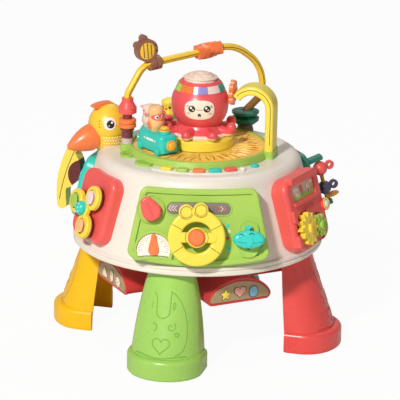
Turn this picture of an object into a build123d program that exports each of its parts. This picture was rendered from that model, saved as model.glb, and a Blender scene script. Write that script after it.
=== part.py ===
"""Activity table: white drum body on four legs, play panels, train disc, octopus drum and bead bar."""
import os
from math import cos, hypot, pi, radians, sin, sqrt, tan, atan

from build123d import *

os.makedirs("parts", exist_ok=True)

# Fits between pieces
seat = 0.1          # pieces that sit on each other without moving
slip = 0.4          # shafts and stems that turn or slide in a hole
panel_fit = 0.25    # side panels on the cone wall
swing = 0.8         # moving pieces that pass each other

# Drum body
rim_r = 160.0
rim_z = 129.0
rim_h = 12.0
rim_top = rim_z + rim_h
rim_groove = 1.6
lean = 16.0
wall_r = 157.0
top_z = 244.0
shoulder = 14.0
skin = 2.5
tray_z = rim_z + 2.0
tray_t = 3.0
tray_top = tray_z + tray_t
tray_lip = 5.2

# Legs
leg_turn = -14.5
leg_names = ("leg_front", "leg_right", "leg_back", "leg_left")
leg_heights = (0.0, 48.0, 92.0, tray_z)
leg_out = (189.0, 175.0, 159.0, 148.0)
leg_in = (130.0, 125.2, 120.9, 117.0)
leg_half = (47.0, 42.5, 36.0, 25.5)
leg_nose = (42.0, 37.0, 30.0, 20.0)
leg_wall = 3.0
leg_cap = 7.0
foot_h = 27.0
foot_out = 192.0
foot_half = 48.5
foot_nose = 44.0
foot_round = (6.0, 4.0)
peg_at = 130.5
peg_r = 8.0
peg_h = 15.0

# Cross hub under the tray
hub_z = 78.0
hub_half = 46.0
hub_crown = 32.0
hub_turn = 26.5
hub_reach = 120.0
hub_core = 44.0
hub_stem = 30.0
hub_wall = 3.0
bay = (64.0, 52.0, 20.0)
door = (72.0, 60.0, 2.4)
cell_r = 7.0
cell_l = 50.0
sign_t = 1.5

# Turning disc, ring and pedestal
ring_r = 91.5
ring_h = 9.6
disc_r = 84.4
disc_t = 4.5
disc_top = 253.0
column_r = 18.0
spigot_r = 15.6
ped_r = 43.5
ped_top = 266.4

# Octopus drum
neck_z = 281.0
neck_r = 25.5
crown_z = 337.0
cap_top = 347.8
cap_r = 22.0
cap_press = 3.0
band = ((31.0, 325.4), (27.0, 334.0))
band_t = 1.8
band_count = 10

# Train
track_r = 63.5
engine = (27.0, 54.0, 22.0)
car = (26.0, 34.0, 15.0)
engine_at = -55.0
car_at = (-99.0, -141.0)
wheel_r = 5.5
hump_at = 14.5
hen_at = -5.0
deck = disc_top + 3.6

# Tunnel arch and paddle
arch_at = 77.0
arch_in = 87.0
arch_out = 98.0
arch_half = 15.0
arch_c = (69.5, 307.0)
arch_end = 147.0
paddle_z = 323.5
paddle_r = 16.3
paddle_in = 39.7
paddle_t = 5.0
pin_r = 2.2

# Bead bar in the upright plane through the two post feet
post_foot = (-91.5, -6.0)
trunk_foot = (59.5, 85.4)
span_x = trunk_foot[0] - post_foot[0]
span_y = trunk_foot[1] - post_foot[1]
span = hypot(span_x, span_y)
bar_r = 4.5
bar_low = 302.0
bar_end = (span + 25.0, 296.0)
bar_points = ((0, bar_low), (0, 318), (22, 352.5), (156, 365), (bar_end[0], 332), bar_end)
bar_bends = (14, 26, 55, 52)
bar_from = bar_points[2]
bar_to = bar_points[3]
post_r = 6.0
trunk_r = 5.0
bee_at = 38.0
twist_at = 118.0

# Keys and buttons on the top
bed = (93.2, 108.0)
bed_h = 1.5
key_r = 99.6
key_size = (11.0, 15.0)
key_step = 11.7
key_names = ("key_yellow", "key_green", "key_orange", "key_teal", "key_red")
key_up = 3.6
key_press = 2.0
button_at = (("button_white", 31.5, 103.5, 4.0), ("button_teal", 43.5, 101.0, 5.0))

# Side panels: turn from the front, reach of the face at face_z
face_z = 190.0
dash_at, dash_r = 0.5, 150.0
dash_corners = ((88.5, -37.0), (70.5, 49.5))
dash_mids = (-48.5, 46.5)
spin_at, spin_r = -60.0, 154.0
bus_at, bus_r = 61.0, 158.0
phone_at, phone_r = -108.0, 152.0
bead_at, bead_r = 115.0, 150.0
recess = 3.0
frame_w = 7.0
panel_deep = 46.0
panel_skin = 3.0
keeper = 2.0
floor_front = -recess
floor_back = -recess - panel_skin

# Dash fittings in panel coordinates
wheel_at = (-2.5, -12.0)
wheel_ring = (27.0, 8.0)
wheel_lift = 8.0
wheel_t = 11.0
horn_r = 10.3
ear_r = 9.4
ear_reach = 33.5
ear_turn = (-23.0, 8.0)
thumb_reach = 18.0
thumb_r = 6.0
knob_at = (-59.0, 21.0)
knob_r = 12.0
gauge_at = (-55.0, -29.0)
gauge_r = 21.0
strip_at = (0.0, 22.5)
strip_size = (78.0, 14.5)
lever_at = (61.0, -13.5)
lever_size = (39.0, 22.0, 15.0)
lever_move = 8.0

# Spinner, gears, handset, beads
spin_hub = (0.0, -3.0)
petal_reach = 22.5
petal_r = 15.5
petal_hole = 10.0
petal_turn = (50.0, 170.0, 290.0)
gear_m = 3.1
gear_teeth = (12, 8)
gear_spot = ((-15.5, -19.0), (15.25, -22.94))
gear_low = -1.4
window_low = 17.0
window_high = 39.0
brow = 5.0
lamp_at = (42.0, -2.0)
lamp_r = 8.0
gear_t = 8.0
phone_path = ((18.5, 62.0), (29.5, -14.0), (21.0, -43.0))
phone_belly = ((25.0, 30.0), (9.0, 4.0), (25.0, -24.0))
phone_thick = 13.0
phone_half = 9.0
peg_phone = 7.0
bead_off = 27.0
rod_r = 2.6
rod_ends = (18.5, -46.0)
bead_spots = (3.0, -25.0)
bead_size = (9.5, 9.0)

# Bird on the shoulder
bird_x, bird_y = -117.5, 27.0
bird_seam = 259.5
bird_low = 233.5
bird_neck_r = 23.4
beak_turn = -62.0
beak_sections = (
    (15, 254.5, 15.5, 17), (31, 253, 14.5, 16.5), (45, 249, 10, 11), (56, 245, 3, 3.6),
)


def outward(theta):
    """Level unit direction at a turn from the front of the table."""
    return sin(radians(theta)), -cos(radians(theta))


def level(theta, r, z):
    """Level plane at a polar place: x outward, y along the turn, z up."""
    ox, oy = outward(theta)
    return Plane(origin=(r * ox, r * oy, z), x_dir=(ox, oy, 0), z_dir=(0, 0, 1))


def upright(theta):
    """Upright plane through the table axis: x outward, y up."""
    ox, oy = outward(theta)
    return Plane(origin=(0, 0, 0), x_dir=(ox, oy, 0), z_dir=(oy, -ox, 0))


def panel_plane(theta, r, at=(0.0, 0.0), lift=0.0):
    """Plane of a side panel's face: x along the turn, y up the slope, z outward."""
    ox, oy = outward(theta)
    c = cos(radians(lean))
    s = sin(radians(lean))
    base = Plane(origin=(r * ox, r * oy, face_z), x_dir=(-oy, ox, 0), z_dir=(ox * c, oy * c, s))
    return Plane(
        origin=base.from_local_coords((at[0], at[1], lift)),
        x_dir=base.x_dir,
        z_dir=base.z_dir,
    )


def spun(plane, turn):
    """The same plane with its x axis turned about its normal."""
    c = cos(radians(turn))
    s = sin(radians(turn))
    return Plane(origin=plane.origin, x_dir=plane.x_dir * c + plane.y_dir * s, z_dir=plane.z_dir)


def turned(points):
    """Solid turned round the table axis from points (radius, height)."""
    with BuildPart() as made:
        with BuildSketch(Plane.XZ):
            with BuildLine():
                Polyline(*points, close=True)
            make_face()
        revolve(axis=Axis.Z)
    return made.part


def turned_at(points, x, y):
    """Solid turned round an upright axis at (x, y)."""
    return Pos(x, y, 0) * turned(points)


def disc(plane, r, low, high):
    """Round bar along a plane's normal between two heights."""
    with BuildPart() as made:
        with BuildSketch(plane.offset(low)):
            Circle(r)
        extrude(amount=high - low)
    return made.part


def block(plane, size, low, high, corner):
    """Round-cornered bar along a plane's normal between two heights."""
    with BuildPart() as made:
        with BuildSketch(plane.offset(low)):
            RectangleRounded(size[0], size[1], corner)
        extrude(amount=high - low)
    return made.part


def body_form(grow):
    """The drum's outer form, grown by a fit."""
    slope = tan(radians(lean))
    low = 90.0
    wide = wall_r + grow / cos(radians(lean))
    with BuildPart() as made:
        with BuildSketch(Plane.XZ):
            with BuildLine():
                FilletPolyline(
                    (0, top_z + grow),
                    (wide - (top_z + grow - rim_top) * slope, top_z + grow),
                    (wide + (rim_top - low) * slope, low),
                    (0, low),
                    radius=shoulder,
                )
                Line((0, low), (0, top_z + grow))
            make_face()
        revolve(axis=Axis.Z)
    return made.part


def dash_outline(plane, inset=0.0):
    """Outline of the dash: wider below, top edge hollow, bottom edge bowed."""
    with BuildSketch(plane) as made:
        with BuildLine():
            (low_u, low_v), (high_u, high_v) = dash_corners
            ThreePointArc((-low_u, low_v), (0, dash_mids[0]), (low_u, low_v))
            Line((low_u, low_v), (high_u, high_v))
            ThreePointArc((high_u, high_v), (0, dash_mids[1]), (-high_u, high_v))
            Line((-high_u, high_v), (-low_u, low_v))
        make_face()
        fillet(made.vertices(), radius=11)
        if inset:
            offset(amount=-inset, mode=Mode.REPLACE)
    return made.sketch


def slab_outline(plane, size, corner, inset=0.0):
    """Outline of a plain panel: width, low edge, high edge."""
    width, low, high = size
    with BuildSketch(plane) as made:
        with Locations((0, (low + high) / 2)):
            RectangleRounded(width - 2 * inset, high - low - 2 * inset, corner - inset / 2)
    return made.sketch


def panel_body(theta, r, outline, edge, sunk=True):
    """Hollow panel housing, its face sunk inside a frame or left flat, cut to lie on the cone wall."""
    with BuildPart() as made:
        extrude(outline(panel_plane(theta, r)), amount=-panel_deep)
        front = made.faces().sort_by(Axis((0, 0, 0), panel_plane(theta, r).z_dir))[-1]
        fillet(front.edges(), radius=edge)
        if sunk:
            extrude(outline(panel_plane(theta, r), frame_w), amount=-recess, mode=Mode.SUBTRACT)
        back = panel_plane(theta, r, lift=floor_back)
        extrude(outline(back, panel_skin), amount=-panel_deep, mode=Mode.SUBTRACT)
        add(body_form(panel_fit), mode=Mode.SUBTRACT)
    return made.part


def spindle(plane, r, top):
    """Shaft through a panel floor with a keeper behind it."""
    with BuildPart() as made:
        add(disc(plane, r, floor_back - slip - keeper, top))
        add(disc(plane, r + 2.2, floor_back - slip - keeper, floor_back - slip))
    return made.part


def gear_outline(teeth):
    """Involute tooth outline with backlash, first tooth on the x axis."""
    pitch = gear_m * teeth / 2
    angle = radians(25)
    base = pitch * cos(angle)
    tip = pitch + 0.72 * gear_m
    root = pitch - gear_m
    half = pi / (2 * teeth) - 0.6 / (2 * pitch)

    def roll(r):
        k = sqrt(max((r / base) ** 2 - 1, 0))
        return k - atan(k)

    flank = []
    start = max(base, root)
    steps = 5
    for i in range(steps):
        r = start + (tip - start) * i / (steps - 1)
        flank.append((r, half + roll(pitch) - roll(r)))
    if root < base:
        flank.insert(0, (root, flank[0][1]))
    points = []
    for k in range(teeth):
        middle = 2 * pi * k / teeth
        for r, a in flank:
            points.append((r * cos(middle - a), r * sin(middle - a)))
        for r, a in reversed(flank):
            points.append((r * cos(middle + a), r * sin(middle + a)))
    return points


def bent_path(points, bends):
    """Straight runs joined by round bends, as one wire of local points."""
    edges = []
    last = Vector(*points[0], 0)
    for i, bend in enumerate(bends, start=1):
        p = Vector(*points[i], 0)
        a = (Vector(*points[i - 1], 0) - p).normalized()
        b = (Vector(*points[i + 1], 0) - p).normalized()
        half = radians(a.get_angle(b)) / 2
        run = bend / tan(half)
        centre = p + (a + b).normalized() * (bend / sin(half))
        start = p + a * run
        end = p + b * run
        middle = centre - (a + b).normalized() * bend
        edges.append(Edge.make_line(last, start))
        edges.append(Edge.make_three_point_arc(start, middle, end))
        last = end
    edges.append(Edge.make_line(last, Vector(*points[-1], 0)))
    return Wire(edges)


bar_plane = Plane(
    origin=(post_foot[0], post_foot[1], 0),
    x_dir=(span_x / span, span_y / span, 0),
    z_dir=(span_y / span, -span_x / span, 0),
)


def swept(points, bends, r):
    """Round bar along a bent path in the bead bar's plane."""
    wire = bar_plane.from_local_coords(bent_path(points, bends))
    with BuildPart() as made:
        with BuildSketch(Plane(wire @ 0, z_dir=wire % 0)):
            Circle(r)
        sweep(path=wire)
    return made.part


def bar_spot(s):
    """Plane across the straight run of the bar: z along the bar."""
    k = (bar_to[1] - bar_from[1]) / (bar_to[0] - bar_from[0])
    place = bar_plane.from_local_coords((s, bar_from[1] + k * (s - bar_from[0]), 0))
    way = bar_plane.x_dir + Vector(0, 0, k)
    return Plane(origin=place, x_dir=bar_plane.z_dir, z_dir=way.normalized())


panels = {
    "dash": (dash_at, dash_r, dash_outline),
    "spin": (spin_at, spin_r, lambda p, i=0.0: slab_outline(p, (80, -41, 45), 15, i)),
    "bus": (bus_at, bus_r, lambda p, i=0.0: slab_outline(p, (90, -44, 50), 18, i)),
    "phone": (phone_at, phone_r, lambda p, i=0.0: slab_outline(p, (78, -44, 41), 16, i)),
    "bead": (bead_at, bead_r, lambda p, i=0.0: slab_outline(p, (78, -44, 45), 16, i)),
}

# White drum
with BuildPart() as upper_shell:
    slope = tan(radians(lean))
    edge_r = wall_r - (top_z - rim_top) * slope
    thin = skin / cos(radians(lean))
    with BuildSketch(Plane.XZ):
        with BuildLine():
            FilletPolyline(
                (spigot_r + seat, top_z), (edge_r, top_z), (wall_r, rim_top), radius=shoulder
            )
            Line((wall_r, rim_top), (wall_r - thin, rim_top))
            FilletPolyline(
                (wall_r - thin, rim_top),
                (edge_r + skin * slope - thin, top_z - skin),
                (spigot_r + seat, top_z - skin),
                radius=shoulder - skin,
            )
            Line((spigot_r + seat, top_z - skin), (spigot_r + seat, top_z))
        make_face()
    revolve(axis=Axis.Z)
    with BuildSketch(upright(-33)):
        with BuildLine():
            Polyline(
                (bed[0], top_z), (bed[1], top_z), (bed[1] - 1.5, top_z + bed_h),
                (bed[0], top_z + bed_h), close=True,
            )
        make_face()
    revolve(axis=Axis.Z, revolution_arc=84)
    for theta, r, outline in panels.values():
        extrude(outline(panel_plane(theta, r), 14), amount=-panel_deep, mode=Mode.SUBTRACT)
    for i in range(5):
        place = level((i - 2) * key_step, key_r, 0)
        hole = (key_size[0] + 2 * slip, key_size[1] + 2 * slip)
        add(block(place, hole, top_z - 9, top_z + 5, 4), mode=Mode.SUBTRACT)
    for name, turn, r, size in button_at:
        add(disc(level(turn, r, 0), size + slip, top_z - 9, top_z + 5), mode=Mode.SUBTRACT)
upper_shell.part.label = "upper_shell"
export_step(upper_shell.part, "parts/upper_shell.step")

with BuildPart() as base_tray:
    add(turned((
        (0, tray_z), (rim_r - 8, tray_z), (rim_r - 8, rim_z), (rim_r - 1.4, rim_z),
        (rim_r, rim_z + 1.4), (rim_r, rim_z + 5.0), (rim_r - rim_groove, rim_z + 5.8),
        (rim_r - rim_groove, rim_z + 7.0), (rim_r, rim_z + 7.8), (rim_r, rim_top - 1.2),
        (rim_r - 1.2, rim_top), (wall_r - tray_lip, rim_top), (wall_r - tray_lip, rim_top + 5),
        (wall_r - tray_lip - 2.4, rim_top + 5), (wall_r - tray_lip - 2.4, tray_top), (0, tray_top),
    )))
    for k in range(4):
        place = level(leg_turn + 90 * k, peg_at, 0)
        add(disc(place, peg_r + 3, tray_top, tray_z + peg_h + 3))
        add(disc(place, peg_r + seat, tray_z, tray_z + peg_h + seat), mode=Mode.SUBTRACT)
    for x, y in ((-68, -8), (-68, 44), (8, -8), (8, 44)):
        add(disc(Plane((x, y, 0)), 4, tray_top, tray_top + 12))
    for i in range(-2, 3):
        place = Plane((45 + 8 * i, -52, 0))
        add(block(place, (4, 30 - 4 * abs(i)), tray_z, tray_top, 1.9), mode=Mode.SUBTRACT)
base_tray.part.label = "base_tray"
export_step(base_tray.part, "parts/base_tray.step")


def leg_section(plane, r_in, r_out, half, nose):
    """Channel outline of a leg: flat inside, round nose outside."""
    with BuildSketch(plane) as made:
        with BuildLine():
            Line((r_in, -half), (r_out - nose, -half))
            EllipticalCenterArc((r_out - nose, 0), nose, half, start_angle=-90, arc_size=180)
            Line((r_out - nose, half), (r_in, half))
            Line((r_in, half), (r_in, -half))
        make_face()
    return made.sketch


def leg_form(theta, inset, foot, top):
    """Leaning leg through its sections, inset by a wall and opened inwards when it has one."""
    sections = []
    heights = (foot, *leg_heights[1:-1], top)
    for z, near, far, half, nose in zip(heights, leg_in, leg_out, leg_half, leg_nose):
        inner = near - 40 if inset else near
        sections.append(leg_section(level(theta, 0, z), inner, far - inset, half - inset, nose - inset))
    return loft(sections, mode=Mode.PRIVATE)


def leg_part(theta):
    """One leg: leaning channel with a swollen foot, closed at the top, peg on it."""
    with BuildPart() as made:
        add(leg_form(theta, 0, leg_heights[0], leg_heights[-1]))
        with BuildPart(mode=Mode.PRIVATE) as foot:
            extrude(
                leg_section(level(theta, 0, 0), leg_in[0] - 2, foot_out, foot_half, foot_nose),
                amount=foot_h,
            )
            for end, r in zip((-1, 0), foot_round):
                rounded = foot.faces().sort_by(Axis.Z)[end].edges().filter_by(GeomType.LINE, reverse=True)
                fillet(rounded, r)
        add(foot.part)
        add(leg_form(theta, leg_wall, -1, tray_z - leg_cap), mode=Mode.SUBTRACT)
        add(disc(level(theta, peg_at, 0), peg_r, tray_z, tray_z + peg_h))
    return made.part


for k, name in enumerate(leg_names):
    with BuildPart() as leg:
        add(leg_part(leg_turn + 90 * k))
    leg.part.label = name
    export_step(leg.part, "parts/" + name + ".step")


def arm_plane(k, reach):
    """Plane across a hub arm: x across, y up, z outward."""
    ox, oy = outward(hub_turn + 90 * k)
    return Plane(origin=(reach * ox, reach * oy, hub_z), x_dir=(-oy, ox, 0), z_dir=(ox, oy, 0))


def vault(plane, inset, open_foot=False):
    """Arched outline with a flat foot, or one run past the foot to open it."""
    with BuildSketch(plane) as made:
        with BuildLine():
            half = hub_half - 1.2 * inset
            EllipticalCenterArc((0, inset), half, hub_crown - 2 * inset, start_angle=0, arc_size=180)
            Line((-half, inset), (half, inset))
        make_face()
        fillet(made.vertices(), 7 - inset)
        if open_foot:
            with Locations((0, inset / 2)):
                Rectangle(2 * half, inset)
    return made.sketch


bay_plane = Plane(origin=(0, 0, 0), x_dir=(*outward(hub_turn), 0), z_dir=(0, 0, 1))

with BuildPart() as hub:
    for k in range(4):
        extrude(vault(arm_plane(k, 0), 0), amount=hub_reach)
    for k in range(4):
        extrude(vault(arm_plane(k, hub_core + 2), hub_wall, open_foot=True),
                amount=hub_reach - hub_core - 2 - hub_wall, mode=Mode.SUBTRACT)
    add(disc(Plane.XY, hub_core, hub_z, hub_z + bay[2] + door[2] + hub_wall))
    add(disc(Plane.XY, hub_stem, hub_z + bay[2], tray_z))
    add(block(bay_plane, bay[:2], hub_z, hub_z + door[2] + bay[2], 3), mode=Mode.SUBTRACT)
    add(
        block(bay_plane, (door[0] + 2 * slip, door[1] + 2 * slip), hub_z, hub_z + door[2], 5),
        mode=Mode.SUBTRACT,
    )
hub.part.label = "hub"
export_step(hub.part, "parts/hub.step")

with BuildPart() as sign_plates:
    for k in range(4):
        extrude(vault(arm_plane(k, hub_reach), 4), amount=sign_t)
sign_plates.part.label = "sign_plates"
export_step(sign_plates.part, "parts/sign_plates.step")

with BuildPart() as battery_door:
    add(block(bay_plane, door[:2], hub_z, hub_z + door[2], 5))
    for i in (-1, 1):
        with BuildSketch(bay_plane.offset(hub_z)):
            with Locations((26 * i, 0)):
                SlotOverall(20, 5, rotation=90)
        extrude(amount=1.0, mode=Mode.SUBTRACT)
battery_door.part.label = "battery_door"
export_step(battery_door.part, "parts/battery_door.step")

with BuildPart() as battery_cells:
    for i in (-1, 0, 1):
        along = Plane(
            origin=bay_plane.from_local_coords((0, 15.5 * i, hub_z + door[2] + cell_r)),
            x_dir=(0, 0, 1),
            z_dir=bay_plane.x_dir,
        )
        add(disc(along, cell_r, -cell_l / 2, cell_l / 2 - 1.5))
        add(disc(along, 2.6, cell_l / 2 - 1.5, cell_l / 2))
battery_cells.part.label = "battery_cells"
export_step(battery_cells.part, "parts/battery_cells.step")

with BuildPart() as circuit_board:
    add(block(Plane((-30, 18, 0)), (92, 66), tray_top + 12, tray_top + 13.6, 3))
    add(block(Plane((-44, 22, 0)), (18, 18), tray_top + 13.6, tray_top + 16, 1))
    add(block(Plane((-8, 12, 0)), (24, 10), tray_top + 13.6, tray_top + 19, 1))
circuit_board.part.label = "circuit_board"
export_step(circuit_board.part, "parts/circuit_board.step")

with BuildPart() as speaker:
    add(turned_at((
        (0, tray_top), (26, tray_top), (26, tray_top + 3), (14, tray_top + 12), (14, tray_top + 19),
        (0, tray_top + 19),
    ), 45, -52))
speaker.part.label = "speaker"
export_step(speaker.part, "parts/speaker.step")

# Ring, disc and pedestal
with BuildPart() as top_ring:
    add(turned((
        (disc_r + swing, top_z), (ring_r, top_z), (ring_r, top_z + 2.5), (ring_r - 2.2, top_z + ring_h - 1),
        (ring_r - 3.2, top_z + ring_h), (disc_r + swing, top_z + ring_h),
    )))
    for turn, r, size, up in ((-45, 98.0, (16, 26), 3.0), (-71, 97.0, (15, 24), 3.0)):
        with BuildSketch(level(turn, r, top_z)):
            Ellipse(size[0] / 2, size[1] / 2)
        extrude(amount=up)
    arch_foot = level(arch_at, (arch_in + arch_out) / 2, 0)
    add(block(arch_foot, (13, 2 * arch_half + 3), top_z, top_z + ring_h, 3))
    add(disc(Plane((*post_foot, 0)), post_r + 3, top_z, top_z + ring_h))
    add(turned(((0, top_z - 5), (disc_r + swing, top_z - 5), (disc_r + swing, top_z + 20),
                (0, top_z + 20))), mode=Mode.SUBTRACT)
top_ring.part.label = "top_ring"
export_step(top_ring.part, "parts/top_ring.step")

with BuildPart() as turntable:
    add(turned((
        (column_r + slip, top_z + slip), (column_r + 6, top_z + slip), (column_r + 6, disc_top - disc_t),
        (disc_r - 2, disc_top - disc_t), (disc_r, disc_top - disc_t + 1), (disc_r, disc_top - 0.8),
        (disc_r - 0.8, disc_top), (column_r + slip, disc_top),
    )))
turntable.part.label = "turntable"
export_step(turntable.part, "parts/turntable.step")

with BuildPart() as pedestal:
    add(turned((
        (0, top_z - 10), (spigot_r, top_z - 10), (spigot_r, top_z), (column_r, top_z),
        (column_r, disc_top + swing), (ped_r, disc_top + swing), (ped_r, ped_top - 2), (ped_r - 2, ped_top),
        (0, ped_top),
    )))
pedestal.part.label = "pedestal"
export_step(pedestal.part, "parts/pedestal.step")

# Octopus drum
arm_r = 6.2
arm_curl = (1.4, 7.0, 7.0, 1.4)
with BuildPart() as octopus_skirt:
    add(turned((
        (0, ped_top), (35.5, ped_top), (37, ped_top + 2.6), (32, ped_top + 7.5),
        (neck_r + 2.2, neck_z - 3.4), (neck_r + 0.6, neck_z), (0, neck_z),
    )))
    for k in range(8):
        curl = arm_curl[k % 4]
        with BuildLine(upright(22.5 + 45 * k)) as arm_path:
            Spline(
                (20, ped_top + arm_r + 1.5), (32, ped_top + arm_r + 0.6), (40, ped_top + arm_r + curl / 5),
                (43.5, ped_top + arm_r + curl),
            )
        with BuildSketch(Plane(arm_path.line @ 0, z_dir=arm_path.line % 0)):
            Circle(arm_r)
        sweep(path=arm_path.line)
        with Locations(arm_path.line @ 1):
            Sphere(arm_r)
octopus_skirt.part.label = "octopus_skirt"
export_step(octopus_skirt.part, "parts/octopus_skirt.step")


def band_form(grow):
    """Cross outline of the window band."""
    (r0, z0), (r1, z1) = band
    return (
        (r0 + 0.7 + grow, z0 - grow), (r1 + 0.7 + grow, z1 + grow),
        (r1 - band_t - grow, z1 + grow), (r0 - band_t - grow, z0 - grow),
    )


with BuildPart() as octopus_head:
    with BuildSketch(Plane.XZ):
        with BuildLine():
            Spline(
                (neck_r, neck_z), (33.0, 291), (36.2, 308), (34.6, 319), (31.0, 325.4), (27.0, 334),
                (24.6, crown_z),
            )
            Polyline(
                (24.6, crown_z), (cap_r - 0.8, crown_z), (cap_r - 0.8, crown_z - 5), (23.6, crown_z - 6),
            )
            Spline(
                (23.6, crown_z - 6), (27.8, 324.5), (31.6, 318), (33.2, 308), (30.2, 291.5), (23, neck_z),
            )
            Line((23, neck_z), (neck_r, neck_z))
        make_face()
    revolve(axis=Axis.Z)
    add(turned(band_form(seat)), mode=Mode.SUBTRACT)
octopus_head.part.label = "octopus_head"
export_step(octopus_head.part, "parts/octopus_head.step")

with BuildPart() as octopus_windows:
    for k in range(band_count):
        with BuildSketch(upright(360 / band_count * k - 17)):
            with BuildLine():
                Polyline(*band_form(0), close=True)
            make_face()
        revolve(axis=Axis.Z, revolution_arc=34)
    (r0, z0), (r1, z1) = band
    add(turned(((r0 - band_t, z0), (r0 - band_t + 0.8, z0), (r1 - band_t + 0.8, z1), (r1 - band_t, z1))))
octopus_windows.part.label = "octopus_windows"
export_step(octopus_windows.part, "parts/octopus_windows.step")

with BuildPart() as drum_cap:
    stem = cap_r - 0.8 - slip
    with BuildSketch(Plane.XZ):
        with BuildLine():
            ThreePointArc((0, cap_top), (14, 344.3), (cap_r, crown_z + cap_press + 0.6))
            Polyline(
                (cap_r, crown_z + cap_press + 0.6), (stem, crown_z + cap_press + 0.6),
                (stem, crown_z - 6.6), (stem + 1.5, crown_z - 6.6), (stem + 1.5, crown_z - 8.6),
                (0, crown_z - 8.6), (0, cap_top),
            )
        make_face()
    revolve(axis=Axis.Z)
drum_cap.part.label = "drum_cap"
export_step(drum_cap.part, "parts/drum_cap.step")


# Train and passengers
def wagon(theta, size):
    """Round-edged car body on two axles with broad wheels."""
    with BuildPart() as made:
        place = level(theta, track_r, 0)
        add(block(place, size[:2], deck, deck + size[2], 7))
        fillet(made.faces().sort_by(Axis.Z)[-1].edges(), 5)
        for side in (-1, 1):
            axle = Plane(
                origin=place.from_local_coords((0, side * (size[1] / 2 - 8), disc_top + wheel_r)),
                x_dir=(0, 0, 1),
                z_dir=place.x_dir,
            )
            add(disc(axle, wheel_r, -size[0] / 2 - 1.6, size[0] / 2 + 1.6))
    return made.part


with BuildPart() as train:
    add(wagon(engine_at, engine))
    place = level(engine_at, track_r, 0)
    add(disc(Plane(place.from_local_coords((0, hump_at, 0))), 7.2, deck + 10, deck + engine[2] + 4))
    nose = Plane(
        origin=place.from_local_coords((0, engine[1] / 2 - 4, deck + 10)),
        x_dir=place.x_dir,
        z_dir=place.y_dir,
    )
    add(disc(nose, 8, 0, 6.5))
    for turn in car_at:
        add(wagon(turn, car))
    with BuildSketch(upright(car_at[1])):
        with Locations((track_r, deck + 5)):
            Rectangle(5, 3)
    revolve(axis=Axis.Z, revolution_arc=engine_at - car_at[1])
train.part.label = "train"
export_step(train.part, "parts/train.step")


def passenger(theta, along, low, tall, wide):
    """Round-headed figure standing on a car."""
    spot = level(theta, track_r, 0).from_local_coords((0, along, 0))
    with BuildPart() as made:
        with BuildSketch(Plane.XZ):
            with BuildLine():
                Spline(
                    (wide * 0.72, low), (wide, low + tall * 0.3), (wide * 0.86, low + tall * 0.55),
                    (wide * 0.9, low + tall * 0.72), (0, low + tall), tangents=((0.3, 1), (-1, 0)),
                )
                Polyline((0, low + tall), (0, low), (wide * 0.72, low))
            make_face()
        revolve(axis=Axis.Z)
    return Pos(spot.X, spot.Y, 0) * made.part


figures = (
    ("hen", engine_at, hen_at, deck + engine[2], 33.0, 10.5),
    ("pig", car_at[0], 0.0, deck + car[2], 29.0, 11.0),
    ("chick", car_at[1], 0.0, deck + car[2], 26.0, 10.5),
)
for name, theta, along, low, tall, wide in figures:
    with BuildPart() as figure:
        add(passenger(theta, along, low, tall, wide))
    figure.part.label = name
    export_step(figure.part, "parts/" + name + ".step")

# Tunnel arch with its paddle
arch_low = top_z + ring_h
with BuildPart() as tunnel_arch:
    r_out = arch_out - arch_c[0]
    r_in = arch_in - arch_c[0]
    with BuildSketch(upright(arch_at)):
        with BuildLine():
            outer = CenterArc(arch_c, r_out, 0, arch_end)
            inner = CenterArc(arch_c, r_in, 0, arch_end)
            Line(outer @ 1, inner @ 1)
            Polyline(outer @ 0, (arch_out, arch_low), (arch_in, arch_low), inner @ 0)
        make_face()
    extrude(amount=arch_half, both=True)
    fillet(tunnel_arch.edges().filter_by(GeomType.CIRCLE), 3)
    pin = Plane(origin=upright(arch_at).from_local_coords((paddle_in, paddle_z, 0)),
                x_dir=(0, 0, 1), z_dir=upright(arch_at).x_dir)
    add(disc(pin, pin_r, -2.2, 9))
    add(disc(pin, pin_r + 1.6, -2.2, -slip))
tunnel_arch.part.label = "tunnel_arch"
export_step(tunnel_arch.part, "parts/tunnel_arch.step")

with BuildPart() as paddle:
    with BuildSketch(pin):
        Circle(paddle_r - 4)
        with PolarLocations(paddle_r - 5, 8):
            Circle(5)
        Circle(pin_r + slip, mode=Mode.SUBTRACT)
    extrude(amount=paddle_t)
paddle.part.label = "paddle"
export_step(paddle.part, "parts/paddle.step")

# Bead bar
ring_low = 274.0
spool_low = 256.5
post_top = bar_low + 11
with BuildPart() as left_post:
    low = top_z + ring_h
    add(turned_at((
        (0, low), (post_r + 1.2, low), (post_r + 1.2, ring_low - 5),
        (post_r + 3, ring_low - 2), (post_r + 3, ring_low - slip), (post_r, ring_low - slip), (post_r, 291),
        (11.6, 294), (11.6, 301), (7.4, 308), (7.4, post_top), (bar_r + seat, post_top),
        (bar_r + seat, bar_low), (0, bar_low),
    ), *post_foot))
left_post.part.label = "left_post"
export_step(left_post.part, "parts/left_post.step")

socket_s = bar_end[0]
trunk_top = bar_end[1] + 6
with BuildPart() as right_trunk:
    knee = bar_end[1] - 22
    trunk_points = ((span, top_z), (span, knee), (socket_s, knee + 19), (socket_s, knee + 21))
    add(swept(trunk_points, (9, 1.6), trunk_r))
    foot = bar_plane.from_local_coords((socket_s, 0, 0))
    head = Plane((foot.X, foot.Y, 0))
    add(disc(head, 7.5, bar_end[1] - 4, trunk_top))
    add(disc(head, bar_r + seat, bar_end[1], trunk_top), mode=Mode.SUBTRACT)
    add(turned_at(((0, top_z), (11, top_z), (11, top_z + 5), (9, spool_low - slip),
                  (0, spool_low - slip)), *trunk_foot))
right_trunk.part.label = "right_trunk"
export_step(right_trunk.part, "parts/right_trunk.step")

with BuildPart() as handle_bar:
    add(swept(bar_points, bar_bends, bar_r))
handle_bar.part.label = "handle_bar"
export_step(handle_bar.part, "parts/handle_bar.step")


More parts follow.
